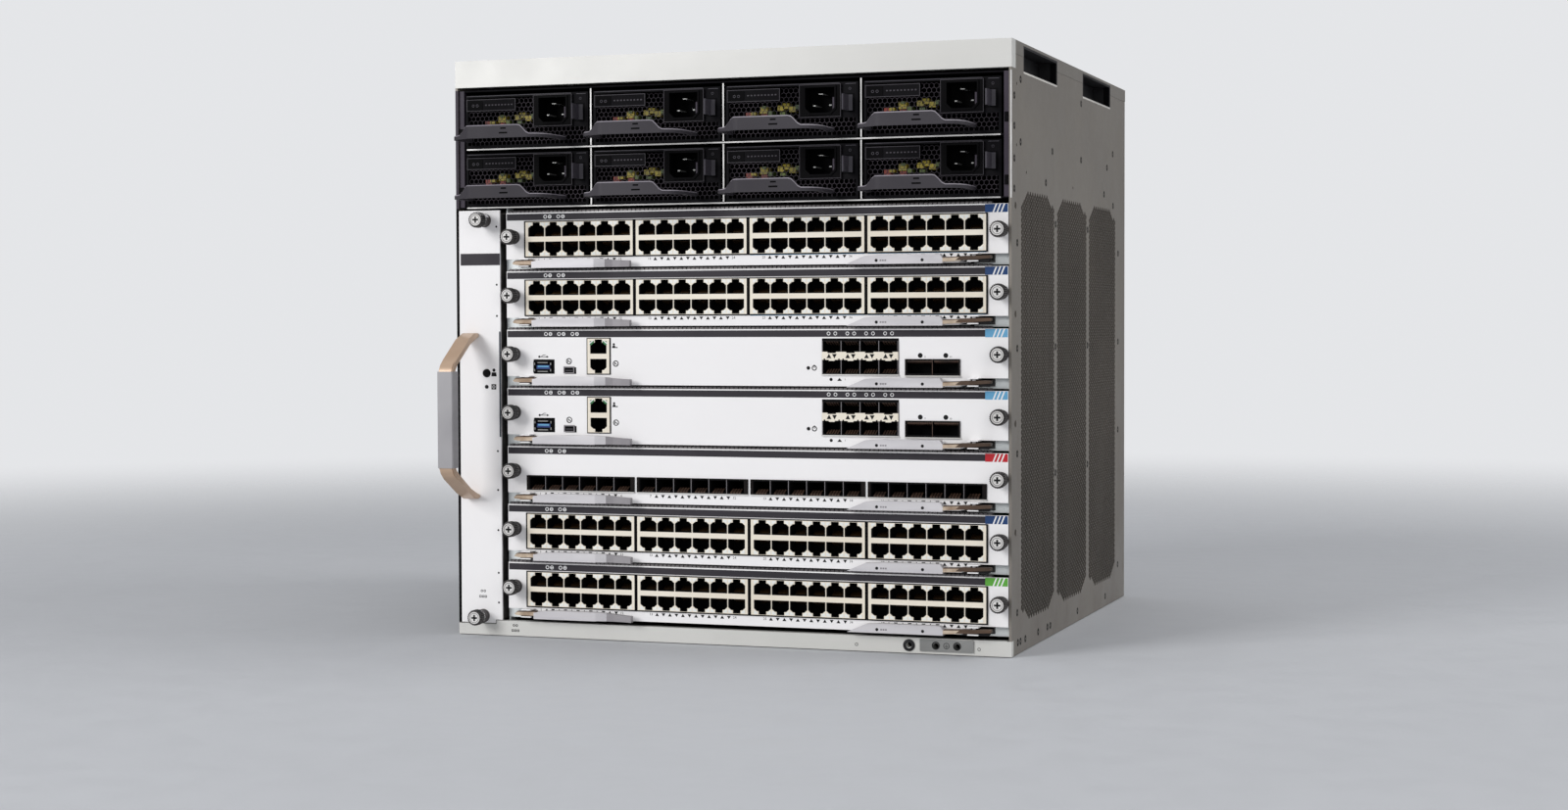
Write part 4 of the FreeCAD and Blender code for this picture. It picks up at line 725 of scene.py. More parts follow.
def buildSide(name, node, side, sign):
    # Along the panel, a is the distance behind the front; sign turns it into u.
    origin = sideFoot[sign]
    high = chassisTop - sideVents["seamHeight"]
    depth = backPlane - frontPlane - sideVents["backGap"]

    def run(outline):
        return [(sign * a, b) for a, b in outline][::sign]

    edge = [(0.0, 0.0), (depth, 0.0), (depth, high)]
    for start in reversed(holdWindows["starts"]):
        end = start + holdWindows["length"]
        edge += [(end, high), (end, holdLow), (start, holdLow), (start, high)]
    edge += [(0.0, high)]
    outlines = [run(edge)]
    for field in sideVents["fields"]:
        outlines.append(run(honeycombEdge(field + cellSide)))
    for places, radius, sides in ((sideDetails["bracketHoles"], sideDetails["bracketRadius"], 20),
                                  (sideDetails["holes"], sideDetails["holeRadius"], 10)):
        outlines += [run(ring(a, chassisTop - drop, radius, sides)) for a, drop in places]
    sheet = bmesh.new()
    addPlate(sheet, outlines, -sideVents["sheet"], 0)
    breaks = [0.0]
    for start in holdWindows["starts"]:
        breaks += [start - 1, start + holdWindows["length"] + 1]
    breaks.append(depth)
    for near, far in zip(breaks[::2], breaks[1::2]):
        addAlong(sheet, sign, near, far, high - 3, high + 8.2, -3.8, -1.95)
    piece = finishPiece(name, sheet, origin, "chassis", ["sidePaint"], side)
    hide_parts(node)
    for number, field in enumerate(sideVents["fields"], start=1):
        mesh = copiesOf(combCell(cellAcross, sideVents["hole"], sideVents["sheet"] - 0.1),
                        {"Columns": sideVents["columns"], "Rows": sideVents["rows"],
                         "Column Pitch": cellPitch, "Row Pitch": cellAcross,
                         "Odd Shift": cellAcross / 2, "Corner Width": sideVents["cornerWidth"],
                         "Corner Height": sideVents["cornerHeight"], "Corner Limit": ventLimit},
                        "sidePaint", merge=True)
        move = Matrix.Translation((field + cellSide, ventFoot + cellAcross / 2, -0.05))
        if sign < 0:
            back = Matrix.Translation((0, 0, sideVents["sheet"]))
            move = Matrix.Rotation(math.pi, 4, "Y") @ back @ move
        mesh.transform(move)
        # The cells take a darker finish than the sheet: painted shade in the holes.
        finishPiece("%s_honeycomb_%d" % (name, number), mesh, origin, "chassis",
                    ["combWallShade"], side)
        bpy.data.meshes.remove(mesh)
    screws = bmesh.new()
    for a, drop in sideDetails["screws"]:
        addTurned(screws, sign * a, chassisTop - drop,
                  [(2.8, -0.3), (2.8, 0.02), (2.3, 0.06), (1.1, 0.06), (0.9, -0.5), (0, -0.6)], 12)
    # Dark discs behind the open holes: painted shade.
    for places, radius in ((sideDetails["bracketHoles"], sideDetails["bracketRadius"]),
                           (sideDetails["holes"], sideDetails["holeRadius"])):
        for a, drop in places:
            addDisc(screws, sign * a, chassisTop - drop, radius + sideDetails["holeShadeMargin"], 16,
                    -1.4, -1.2)
    finishPiece(name + "_screws", screws, origin, "chassis", ["screwBlack"], side,
                40)


buildSide("right_honeycomb_panel", "right_side_panel", onRight, 1)
buildSide("left_honeycomb_panel", "left_side_panel", onLeft, -1)
print("side panels built")

# Lips of the hand holds, with a painted highlight on the lower lip and painted shade set back
# round the opening.
for sign, side, label in ((1, onRight, "right"), (-1, onLeft, "left")):
    lips = bmesh.new()
    for start in holdWindows["starts"]:
        near, far = start + 0.4, start + holdWindows["length"] - 0.4
        lipTop = holdLow + holdWindows["lipHigh"]
        # The near-white lower lip: painted highlight.
        addAlong(lips, sign, near, far, holdLow + 0.1, lipTop, -5, 0.02)
        # Black strips above the lip and under the top of the opening: painted shade.
        for v0 in (lipTop, chassisTop - 3.0):
            addAlong(lips, sign, near, far, v0, v0 + holdWindows["edge"], -5, -1.2, 2)
        # Black strips at both ends of the opening: painted shade.
        for end in (start + 0.2, start + holdWindows["length"] - 2.0):
            addAlong(lips, sign, end, end + 1.8, holdLow + 0.1, chassisTop - 2.2, -5, -0.7, 1)
    finishPiece(label + "_hand_hold_lips", lips, sideFoot[sign], "chassis",
                ["cupLipHighlight", "jackBlack", "jackBlack"], side)

captive = {"collar": 4.75, "head": 6.05, "groove": 0.55, "dish": 4.5, "ridges": 26,
           "headHigh": 7.1, "out": 13.1, "fanOut": 16.6}


def addCaptive(bm, u, v, out):
    # Knurled thumbscrew: collar, ribbed head, bright dished face with a cross recess.
    # Finishes: 0 bright, 1 ribs, 2 dark: painted shade on every other rib flank, on the step into
    # the dish and in the cross recess.
    collar, dish, headFoot = captive["collar"], captive["dish"], out - captive["headHigh"]
    addTurned(bm, u, v, [(collar + 0.5, 0), (collar + 0.5, 1.2), (collar, 1.6),
                         (collar, headFoot)], 24, 1)
    rings = []
    for w, inset in ((headFoot, 0.0), (out - 0.65, 0.0), (out - 0.3, 1.6)):
        loop = []
        for step in range(captive["ridges"] * 2):
            reach = captive["head"] - inset - (0 if step % 2 else captive["groove"])
            angle = math.tau * step / (captive["ridges"] * 2)
            loop.append(bm.verts.new(
                (u + reach * math.cos(angle), v + reach * math.sin(angle), w)))
        rings.append(loop)
    # Every other flank of the ribs is painted dark: painted shade.
    bridge(bm, rings, lambda row, corner: 1 if corner % 2 else 2)
    bm.faces.new(rings[0][::-1]).material_index = 2
    addTurned(bm, u, v, [(dish + 0.2, out - 0.6), (dish, out), (dish - 0.7, out),
                         (dish - 1.0, out - 0.25), (0, out - 0.25)], 24, 0)
    # Dark ring on the step into the dish: painted shade.
    addTurned(bm, u, v, [(dish - 0.7, out + 0.02), (dish - 1.0, out + 0.02)], 24, 2)
    # The cross recess is painted dark: painted shade.
    for half in ((2.4, 0.7), (0.7, 2.4)):
        addPad(bm, u, v, half[0], half[1], out - 0.35, out - 0.2, 2)
        addPad(bm, u, v, half[0] * 0.55, half[1] * 0.55, out - 0.2, out - 0.14, 2)


# Card faces: strip, colour tag, marks, thumbscrews and spring fingers, on every card.
cardFace = {"left": 42.5, "right": 437.0, "strip": (-5.8, -0.9), "tagLeft": 420.0,
            "screws": ((48.7, -18.6), (432.0, -18.6)), "fingerPitch": 3.4, "fingerWidth": 2.7,
            "fingers": 112, "fingerLeft": 46.0}
blocks = {"left": 59.0, "pitch": 91.1, "width": 88.6, "top": -7.2, "height": 26.2,
          "first": 9.0, "ports": 6, "portPitch": 14.15}
blockLefts = [blocks["left"] + block * blocks["pitch"] for block in range(4)]
blockLow = blocks["top"] - blocks["height"]
blockMiddle = blocks["top"] - blocks["height"] / 2


def addFaceMarks(bm, card):
    low, high = cardFace["strip"]
    addBox(bm, cardFace["left"] + 0.5, cardFace["tagLeft"], low, high, 0, 0.12, 0)
    addBox(bm, cardFace["tagLeft"], cardFace["right"] - 0.4, low - 0.4, high + 0.6, 0, 0.13, 1)
    for step in range(3):
        u = cardFace["tagLeft"] + 5.4 + 2.9 * step
        addPrism(bm, [(u, low - 0.4), (u + 1.1, low - 0.4), (u + 3.5, high + 0.6),
                      (u + 2.4, high + 0.6)], 0.13, 0.2, 2)
    # Ring icons on the strip.
    spots = (75.3, 79.0, 86.2, 90.0) + ((97.4, 101.2) if card["kind"] == "supervisor" else ())
    for step, u in enumerate(spots):
        addRing(bm, u, -3.3, 1.5, 0.95, 14, 0.12, 0.2, 2)
        if step % 2:
            addBox(bm, u - 0.9, u + 0.9, -3.6, -3.0, 0.12, 0.2, 2)
    for u in (52.4, 55.2):
        addRing(bm, u, -3.3, 0.95, 0.6, 10, 0.12, 0.16, 4)


def fingerUnit():
    # One spring finger, bent up from the tray's front edge and hooked back.
    unit = bmesh.new()
    width = cardFace["fingerWidth"]
    addPrism(unit, [(0.05, -0.4), (0.05, -7), (0.5, -7), (1.75, -3.6), (1.9, -2.2), (1.3, -0.4)],
             -width / 2, width / 2, 0, "u")
    return unit


fingerMesh = copiesOf(fingerUnit(), {"Columns": cardFace["fingers"], "Rows": 1,
                                     "Column Pitch": cardFace["fingerPitch"]}, "springSteel")
for card in cards:
    body = card["body"]
    low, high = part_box(body + "_tray")
    card["origin"] = (leftEdge, frontPlane, high.z * 1000)
    details = bmesh.new()
    addFaceMarks(details, card)
    cardPiece(card, "_face_marks", details,
              ["stripCharcoal", card["tag"], "markWhite", "markDark", "supplyLine"])
    screws = bmesh.new()
    for u, v in cardFace["screws"]:
        addCaptive(screws, u, v, captive["out"])
    cardPiece(card, "_thumbscrews", screws, ["screwBright", "screwRib", "markDark"],
              smooth=30)
    origin = (card["origin"][0] + cardFace["fingerLeft"], frontPlane, card["origin"][2])
    finishPiece(body + "_spring_fingers", fingerMesh, origin, body, ["springSteel"])
print("card faces, thumbscrews and fingers built")


def cardsOf(kind):
    return [card for card in cards if card["kind"] == kind]


# Network jacks: stepped mouths in cream blocks.
jackMouth = {"half": 6.75, "deep": 6.4, "shoulder": 8.3, "shoulderHalf": 4.6, "neckHalf": 3.0,
             "neckDeep": 10.9, "mid": 1.95}


def jackMouthShape(u, v, up, less=0.0):
    # The latch notch points away from the middle bar.
    half, neck, shoulder = (jackMouth[key] - less for key in ("half", "neckHalf", "shoulderHalf"))
    points = [(-half, 0), (half, 0), (half, jackMouth["deep"]), (shoulder, jackMouth["shoulder"]),
              (neck, jackMouth["shoulder"] + 0.2), (neck, jackMouth["neckDeep"]),
              (-neck, jackMouth["neckDeep"]), (-neck, jackMouth["shoulder"] + 0.2),
              (-shoulder, jackMouth["shoulder"]), (-half, jackMouth["deep"])]
    return [(u + a, v + up * b) for a, b in points]


def buildJackFrames():
    frames = bmesh.new()
    for left in blockLefts:
        right = left + blocks["width"]
        front = [rectangle(left, right, blockLow, blocks["top"])]
        lining = front[:]
        for port in range(blocks["ports"]):
            u = left + blocks["first"] + port * blocks["portPitch"]
            for up in (1, -1):
                v = blockMiddle + up * jackMouth["mid"]
                front.append(jackMouthShape(u, v, up))
                lining.append(jackMouthShape(u, v + up * 0.3, up, 0.9))
        addPlate(frames, front, 0.44, 0.9)
        # Black lining just behind the cream front, and a dark line round the block.
        addPlate(frames, lining, 0.41, 0.44, 1)
        addPlate(frames, [rectangle(left - 1.1, right + 1.1, blockLow - 0.9, blocks["top"] + 0.8),
                          front[0]], 0.02, 0.92, 1)
    return frames


def contactComb(up):
    # Eight slanting contact wires of one jack.
    unit = bmesh.new()
    for wire in range(8):
        u = (wire - 3.5) * 1.02
        addPrism(unit, [(up * 0.9, -4.0), (up * 1.3, -4.0), (up * 3.9, -10), (up * 3.4, -10)],
                 u - 0.2, u + 0.2, 0, "u")
    return unit


def pipeUnit():
    unit = bmesh.new()
    for side in (-1, 1):
        addPrism(unit, [(side * 6.6, -1.1), (side * 6.6, 1.3), (side * 3.6, 1.3),
                        (side * 3.6, 0.7), (side * 5.0, -0.9)], 0.9, 1.05)
    return unit


def fieldOf(unit, sizes, finish, u, v, up=1):
    mesh = copiesOf(unit, sizes, finish)
    mesh.transform(Matrix.Translation((u, v, 0)) @ Matrix.Diagonal((1, up, 1, 1)))
    if up < 0:
        mesh.flip_normals()
    return mesh


def joined(meshes, name):
    bm = bmesh.new()
    for mesh in meshes:
        bm.from_mesh(mesh)
    return toMesh(bm, name)


portGrid = {"Columns": 24, "Rows": 1, "Column Pitch": blocks["portPitch"], "Group Size": 6,
            "Group Gap": blocks["pitch"] - 6 * blocks["portPitch"]}
firstPort = blocks["left"] + blocks["first"]
jackFrameMesh = toMesh(buildJackFrames(), "jackFrames")
combMesh = joined([fieldOf(contactComb(up), portGrid, "contactGold", firstPort,
                           blockMiddle + up * jackMouth["mid"]) for up in (1, -1)], "contactCombs")
pipeMesh = joined([fieldOf(pipeUnit(), portGrid, "lightPipe", firstPort,
                           blockMiddle + up * jackMouth["mid"] + up * 9.2, up)
                   for up in (1, -1)], "lightPipes")


def arrowUnit(up):
    unit = bmesh.new()
    addPrism(unit, [(-1.5, -1.1 * up), (1.5, -1.1 * up), (0, 1.25 * up)], *ink)
    return unit


arrows = {"pitch": 5.25, "drop": -36.3, "size": 2.7}
arrowGrid = {"Columns": 24, "Rows": 1, "Column Pitch": arrows["pitch"] * 2, "Group Size": 6,
             "Group Gap": blocks["pitch"] - 12 * arrows["pitch"]}
arrowStart = blocks["left"] + blocks["width"] / 2 - 5.5 * arrows["pitch"]
arrowMeshes = [fieldOf(arrowUnit(up), arrowGrid, "markDark", u, arrows["drop"])
               for up, u in ((1, arrowStart), (-1, arrowStart + arrows["pitch"]))]


def addArrowsAndFigures(bm, ports):
    for mesh in arrowMeshes:
        bm.from_mesh(mesh)
    for block, left in enumerate(blockLefts):
        for number, reach in ((block * ports + 1, -6.4), (block * ports + ports, 6.4)):
            addText(bm, str(number), arrows["size"],
                    left + blocks["width"] / 2 + reach * arrows["pitch"], arrows["drop"], 0.04)
    # The copied arrows come with another index.
    for face in bm.faces:
        face.material_index = 0


for card in cardsOf("jacks"):
    cardPiece(card, "_jack_frames", jackFrameMesh, ["jackCream", "jackBlack"])
    cardPiece(card, "_jack_contacts", combMesh, ["contactGold"])
    cardPiece(card, "_light_pipes", pipeMesh, ["lightPipe"])
    marks = bmesh.new()
    addArrowsAndFigures(marks, 12)
    if card["glow"]:
        for left in blockLefts[2:]:
            addBox(marks, left, left + blocks["width"], -34.3, -33.5, 0, 0.12, 1)
            addBox(marks, left, left + blocks["width"], -34.7, -34.35, 0, 0.06, 2)
    cardPiece(card, "_port_marks", marks, ["markDark", "glowBlue", "tagSky"])
print("jacks built")


# Supervisors: serial and console sockets, icons, optic cages.
supervisor = {"usb": (64.9, 80.5, -32.7, -24.3), "mini": (90.0, 98.9, -33.3, -28.0),
              "console": (110.0, 128.0, -33.4, -6.9), "lamp": (286.4, -28.6),
              "opticLeft": 298.1, "opticPitch": 14.4, "opticWidth": 13.2,
              "opticUpper": (-16.7, -9.1), "opticLower": (-32.7, -22.6),
              "wideLeft": 361.0, "wideRight": 401.0, "wideLow": -33.4, "wideHigh": -22.2}


def addRingIcon(bm, u, v, radius):
    addRing(bm, u, v, radius, radius - 0.7, 18, *ink, 4)


def addSockets(bm):
    # Finishes: 0 metal, 1 black, 2 blue tongue, 3 cream, 4 dark mark, 5 lamp, 6 white,
    # 7 sky, 8 shade, 9 line.
    u0, u1, v0, v1 = supervisor["usb"]
    middle, between = (u0 + u1) / 2, (v0 + v1) / 2
    addPlate(bm, [rectangle(u0, u1, v0, v1), rectangle(u0 + 1.5, u1 - 1.5, v0 + 1.4, v1 - 1.4)],
             0.05, 0.9, 1)
    for half, low, high in ((4.2, v1 - 1.3, v1 - 0.5), (4.2, v0 + 0.4, v0 + 1.2)):
        addBox(bm, middle - half, middle + half, low, high, 0.9, 1.1, 0)
    for u in (u0 + 0.7, u1 - 1.5):
        for v in (v0 + 0.9, v1 - 2.7):
            addBox(bm, u, u + 0.8, v, v + 1.8, 0.9, 1.1, 0)
    addBox(bm, u0 + 2.2, u1 - 2.2, between - 1.6, between + 1.4, -8, -0.2, 2)
    addBox(bm, u0 + 3.2, u1 - 3.2, between - 0.2, between + 1.0, -0.2, -0.1, 7)
    u0, u1, v0, v1 = supervisor["mini"]
    addPlate(bm, [rectangle(u0, u1, v0, v1), rectangle(u0 + 0.7, u1 - 0.7, v0 + 0.7, v1 - 0.9)],
             0.05, 0.8, 8)
    addBox(bm, u0 + 0.7, u1 - 0.7, v0 + 0.7, v1 - 0.9, 0.02, 0.1, 1)
    addBox(bm, u0 + 1.6, u1 - 1.6, v0 + 1.7, v0 + 2.7, 0.1, 0.5, 9)
    u0, u1, v0, v1 = supervisor["console"]
    middle, between = (u0 + u1) / 2, -20.3
    upper = jackMouthShape(middle, between + jackMouth["mid"], 1)
    lower = jackMouthShape(middle, between - jackMouth["mid"], -1)
    addPlate(bm, [rectangle(u0, u1, v0, v1), upper, lower], 0.42, 0.95, 3)
    addPlate(bm, [rectangle(u0 - 0.8, u1 + 0.8, v0 - 0.7, v1 + 0.6), rectangle(u0, u1, v0, v1)],
             0.02, 0.5, 1)
    for side in (-1, 1):
        high = between + jackMouth["mid"] + 6.6
        addPrism(bm, [(middle + side * 6.9, high), (middle + side * 6.9, high + 3.0),
                      (middle + side * 3.6, high + 3.0), (middle + side * 3.6, high + 1.9),
                      (middle + side * 5.6, high)], 0.95, 1.1, 5)
        addPrism(bm, [(middle + side * 7.6, high + 0.4), (middle + side * 7.6, high + 1.4),
                      (middle + side * 4.4, high + 3.6), (middle + side * 3.4, high + 3.6)], 1.1,
                 1.15, 6)
    # Icons beside and above the sockets.
    addDisc(bm, 131.4, -11.2, 0.9, 12, *ink, 4)
    addPrism(bm, [(129.9, -14.0), (132.9, -14.0), (132.3, -12.2), (130.5, -12.2)], *ink, 4)
    addBox(bm, 133.0, 134.4, -14.0, -13.2, *ink, 4)
    for u, v in ((132.9, -25.8), (94.3, -24.1)):
        addRingIcon(bm, u, v, 2.4)
        addPrism(bm, [(u - 1.0, v + 1.1), (u - 1.0, v + 0.4), (u + 1.2, v - 1.2),
                      (u + 1.2, v - 0.5)], *ink, 4)
        addBox(bm, u - 1.1, u - 0.6, v - 1.1, v + 1.1, *ink, 4)
    addBox(bm, 69.8, 75.8, -20.95, -20.45, *ink, 4)
    addDisc(bm, 69.6, -20.7, 0.9, 10, *ink, 4)
    addPrism(bm, [(75.6, -21.6), (75.6, -19.8), (77.4, -20.7)], *ink, 4)
    addPrism(bm, [(71.4, -20.5), (73.2, -19.5), (75.0, -19.5), (75.0, -19.1), (73.0, -19.1),
                  (70.8, -20.5)], *ink, 4)
    u, v = supervisor["lamp"]
    addTurned(bm, u, v, [(1.35, 0), (1.35, 0.25), (0.9, 0.45), (0, 0.5)], 14, 4)
    addRingIcon(bm, u + 4.6, v, 2.0)
    addBox(bm, u + 4.35, u + 4.85, v, v + 2.6, 0, 0.09, 4)
    addDisc(bm, 303.9, -37.0, 1.2, 12, *ink, 4)
    addPrism(bm, [(308.6, -38.0), (312.2, -38.0), (310.4, -35.8)], *ink, 4)
    addText(bm, "1", 2.0, 314.6, -37.0, 0.04, 4)
    for number, u in enumerate((371.7, 390.8)):
        addDisc(bm, u, -19.3, 1.8, 16, *ink, 4)
        addText(bm, str(9 + number), 2.0, u + 3.6, -20.3, 0.04, 4)


def addTooth(bm, u, width, edge, steps, w0, w1, finish):
    # Spring tooth at a mouth's edge: four corners off the edge, two at w0 and two at w1.
    addPrism(bm, [(edge + step, w) for step, w in zip(steps, (w0, w0, w1, w1))], u, u + width,
             finish, "u")


def addOpticBlock(bm):
    # Finishes: 0 brown frame, 1 separator, 2 cream, 3 dark mark, 4 teeth, 5 bright lip, 6 white.
    pitch, mouth = supervisor["opticPitch"], supervisor["opticWidth"]
    start = supervisor["opticLeft"]
    left = start - 0.9
    right = start + 3 * pitch + mouth + 0.9
    lower, upper = supervisor["opticLower"], supervisor["opticUpper"]
    outlines = [rectangle(left, right, lower[0] - 0.5, upper[1] + 0.5)]
    for column in range(4):
        u = start + column * pitch
        outlines += [rectangle(u, u + mouth, *lower), rectangle(u, u + mouth, *upper)]
    addPlate(bm, outlines, 0.42, 0.8)
    for column in range(5):
        u = start - 0.6 + column * pitch
        addBox(bm, u - 0.17, u + 0.17, lower[0] - 0.3, upper[1] + 0.4, 0.8, 0.9, 1)
    addBox(bm, left, right, lower[1], upper[0], 0.45, 0.98, 2)
    for column in range(4):
        middle = start + mouth / 2 + column * pitch
        addBox(bm, middle - 3.2, middle + 3.2, upper[0] - 0.9, upper[0], 0.98, 1.05, 0)
        addBox(bm, middle - 2.2, middle + 2.2, lower[1] - 0.75, lower[1], 0.6, 1.0, 2)
        for side in (-1, 1):
            u = middle + side * 5.6
            addBox(bm, u - 0.6, u + 0.6, lower[1], lower[1] + 0.9, 0.98, 1.05, 0)
        v = (lower[1] + upper[0]) / 2 - 0.2
        for shift, up in ((-2.1, 1), (2.1, -1)):
            addPrism(bm, [(middle + shift - 1.8, v - 1.5 * up),
                          (middle + shift + 1.8, v - 1.5 * up), (middle + shift, v + 1.7 * up)],
                     1.0, 1.08, 3)
        for tooth in range(5):
            u = middle - 4.6 + tooth * 2.0
            addTooth(bm, u, 1.2, upper[1], (-0.4, -0.1, -2.4, -2.8), 0.3, -5, 4)
            addTooth(bm, u, 1.2, lower[0], (0.2, 0.5, 3.4, 3.0), 0.3, -5, 4)
        # Icon pairs on the strip over each column.
        for shift in (-2.6, 2.6):
            addRing(bm, middle + shift, -3.3, 1.4, 0.95, 10, 0.12, 0.2, 6)
    addBox(bm, left - 0.4, right + 0.2, lower[0] - 1.3, lower[0] - 0.4, 0.1, 1.5, 5)
    # Two wide cages.
    u0, u1 = supervisor["wideLeft"], supervisor["wideRight"]
    v0, v1 = supervisor["wideLow"], supervisor["wideHigh"]
    middle = (u0 + u1) / 2
    addPlate(bm, [rectangle(u0 - 0.6, u1 + 0.6, v0 - 0.4, v1 + 0.3),
                  rectangle(u0 + 0.4, middle - 0.3, v0 + 0.4, v1 - 0.5),
                  rectangle(middle + 0.3, u1 - 0.4, v0 + 0.4, v1 - 0.5)], 0.4, 0.9)
    addBox(bm, middle - 0.2, middle + 0.2, v0 - 0.3, v1 + 0.2, 0.9, 1.0, 4)
    addBox(bm, u0 - 0.6, u1 + 0.8, v0 - 1.3, v0 - 0.4, 0.1, 1.5, 5)
    for left in (u0 + 0.5, middle + 0.6):
        for tooth in range(14):
            addTooth(bm, left + 0.8 + tooth * 1.32, 0.8, v1, (-1.9, -0.9, -2.4, -3.2), 0.5, -4, 4)


for card in cardsOf("supervisor"):
    sockets = bmesh.new()
    addSockets(sockets)
    cardPiece(card, "_sockets", sockets,
                ["plugMetal", "jackBlack", "usbBlue", "jackCream", "markDark", "lampGreen",
                 "markWhite", "tagSky", "leverShade", "supplyLine"])
    cages = bmesh.new()
    addOpticBlock(cages)
    cardPiece(card, "_optic_cages", cages,
              ["cageBrown", "leverShade", "jackCream", "markDark", "cageTeeth", "lipBright",
               "markWhite"])
print("supervisor faces built")


# Optic line card: four long cages of six mouths.
optics = {"first": 2.35, "width": 12.15, "low": -33.0, "high": -22.7, "pitch": 14.15}


def addOpticCard(bm):
    # Finishes: 0 brown frame, 1 separator, 2 teeth, 3 bright lip.
    low, high = optics["low"], optics["high"]
    for left in blockLefts:
        right = left + blocks["width"]
        outlines = [rectangle(left - 0.3, right + 0.3, low - 0.5, high + 0.5)]
        for port in range(blocks["ports"]):
            u = left + optics["first"] - 0.5 + port * optics["pitch"]
            outlines.append(rectangle(u, u + optics["width"] + 1.0, low, high))
            middle = u + optics["width"] / 2 + 0.5
            for tooth in range(4):
                addTooth(bm, middle - 4.2 + tooth * 2.2, 1.4, low, (0.1, 0.9, 3.4, 2.8),
                         0.6, -5, 2)
        addPlate(bm, outlines, 0.42, 0.8)
        for port in range(1, blocks["ports"]):
            u = left + optics["first"] - 1.0 + port * optics["pitch"]
            addBox(bm, u - 0.17, u + 0.17, low - 0.3, high + 0.3, 0.8, 0.9, 1)
        addBox(bm, left - 0.3, right + 0.3, low - 1.1, low - 0.4, 0.1, 1.2, 3)


for card in cardsOf("optics"):
    cages = bmesh.new()
    addOpticCard(cages)
    cardPiece(card, "_optic_cages", cages,
              ["cageBrown", "leverShade", "cageTeeth", "lipBright"])
    marks = bmesh.new()
    addArrowsAndFigures(marks, 6)
    cardPiece(card, "_port_marks", marks, ["markDark"])
print("optic card built")


# Levers: folded plate, scooped finger end and copper claws.
levers = {"top": -35.6, "low": -42.4, "back": 2.4, "front": 8.05, "scoopThick": 4.5,
          "scoop": [(118.5, 8.05, -35.6), (122.0, 7.5, -35.7), (127.0, 6.6, -36.1),
                    (133.0, 6.3, -36.7), (140.0, 7.2, -37.2), (148.0, 9.2, -37.5)]}


def buildLeftLever():
    # Finishes: 0 silver, 1 shade, 2 copper, 3 dark copper, 4 painted shade in gaps and holes.
    bm = bmesh.new()
    top, low, back, front = (levers[key] for key in ("top", "low", "back", "front"))
    addPrism(bm, [(67.0, low), (118.5, low), (118.5, top), (86.0, top), (76.0, top - 0.5),
                  (67.0, top - 2.0)], back, front)
    rings = []
    foot = low + 0.2
    for u, w, high in levers["scoop"]:
        inner = max(w - levers["scoopThick"], back)
        rings.append([bm.verts.new(spot) for spot in ((u, foot, w), (u, high, w), (u, high, inner),
                                                      (u, foot, inner))])
    bridge(bm, rings, lambda row, corner: 1 if row > 1 else 0, turned=True)
    bm.faces.new(rings[0]).material_index = 1
    bm.faces.new(rings[-1][::-1]).material_index = 1
    addPrism(bm, [(51.6, -37.9), (53.6, -36.7), (68.0, -36.4), (68.0, -37.1), (53.6, -37.3)], back,
             front, 3)
    addPrism(bm, [(51.0, -38.7), (53.6, -37.3), (68.0, -37.1), (68.0, -39.9), (55.5, -40.1),
                  (51.9, -39.6)], back, front - 0.1, 2)
    # Black box in the gap under the claw: painted shade.
    addBox(bm, 56.0, 68.0, -41.6, -40.1, back, front - 1.2, 4)
    return bm


def buildRightLever():
    bm = bmesh.new()
    top, low, back, front = (levers[key] for key in ("top", "low", "back", "front"))
    addPrism(bm, [(318.0, low), (390.5, low), (390.5, top - 3.2), (388.5, top), (345.0, top + 0.1),
                  (332.0, top - 0.7)], back, front)
    # The two holes in the lever are dark discs: painted shade.
    for u in (341.0, 375.5):
        addDisc(bm, u, -39.8, 1.15, 14, front, front + 0.06, 4)
    for step in range(3):
        addBox(bm, 343.6 + 1.8 * step, 344.9 + 1.8 * step, -40.4, -39.2, front, front + 0.06, 1)
    addPrism(bm, [(390.5, -41.2), (390.5, -38.6), (404.0, -38.2), (404.0, -40.6)], back,
             front - 0.05, 2)
    addPrism(bm, [(391.0, -38.6), (391.0, -38.0), (404.0, -37.6), (404.0, -38.2)], back, front, 3)
    addPrism(bm, [(400.0, -40.2), (404.0, -37.4), (426.0, -37.0), (426.0, -39.2), (408.0, -40.4)],
             back, front + 0.02, 3)
    # Black in the gap under the claw: painted shade.
    addPrism(bm, [(408.0, -40.4), (426.0, -39.2), (424.0, -41.6), (402.0, -41.8)], back,
             front - 1.2, 4)
    return bm


leverFinishes = ["leverMetal", "leverShade", "clawCopper", "clawShade", "markDark"]
leverMeshes = {}
for label, parts in (("left", buildLeftLever()), ("right", buildRightLever())):
    bmesh.ops.recalc_face_normals(parts, faces=parts.faces)
    leverMeshes[label] = toMesh(parts, label + "Lever")
for card in cards:
    for label, mesh in leverMeshes.items():
        node = "%s_%s_lever" % (card["body"], label)
        piece = finishPiece(node + "_piece", mesh, card["origin"], node,
                            leverFinishes)
        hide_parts(node)
print("levers built")


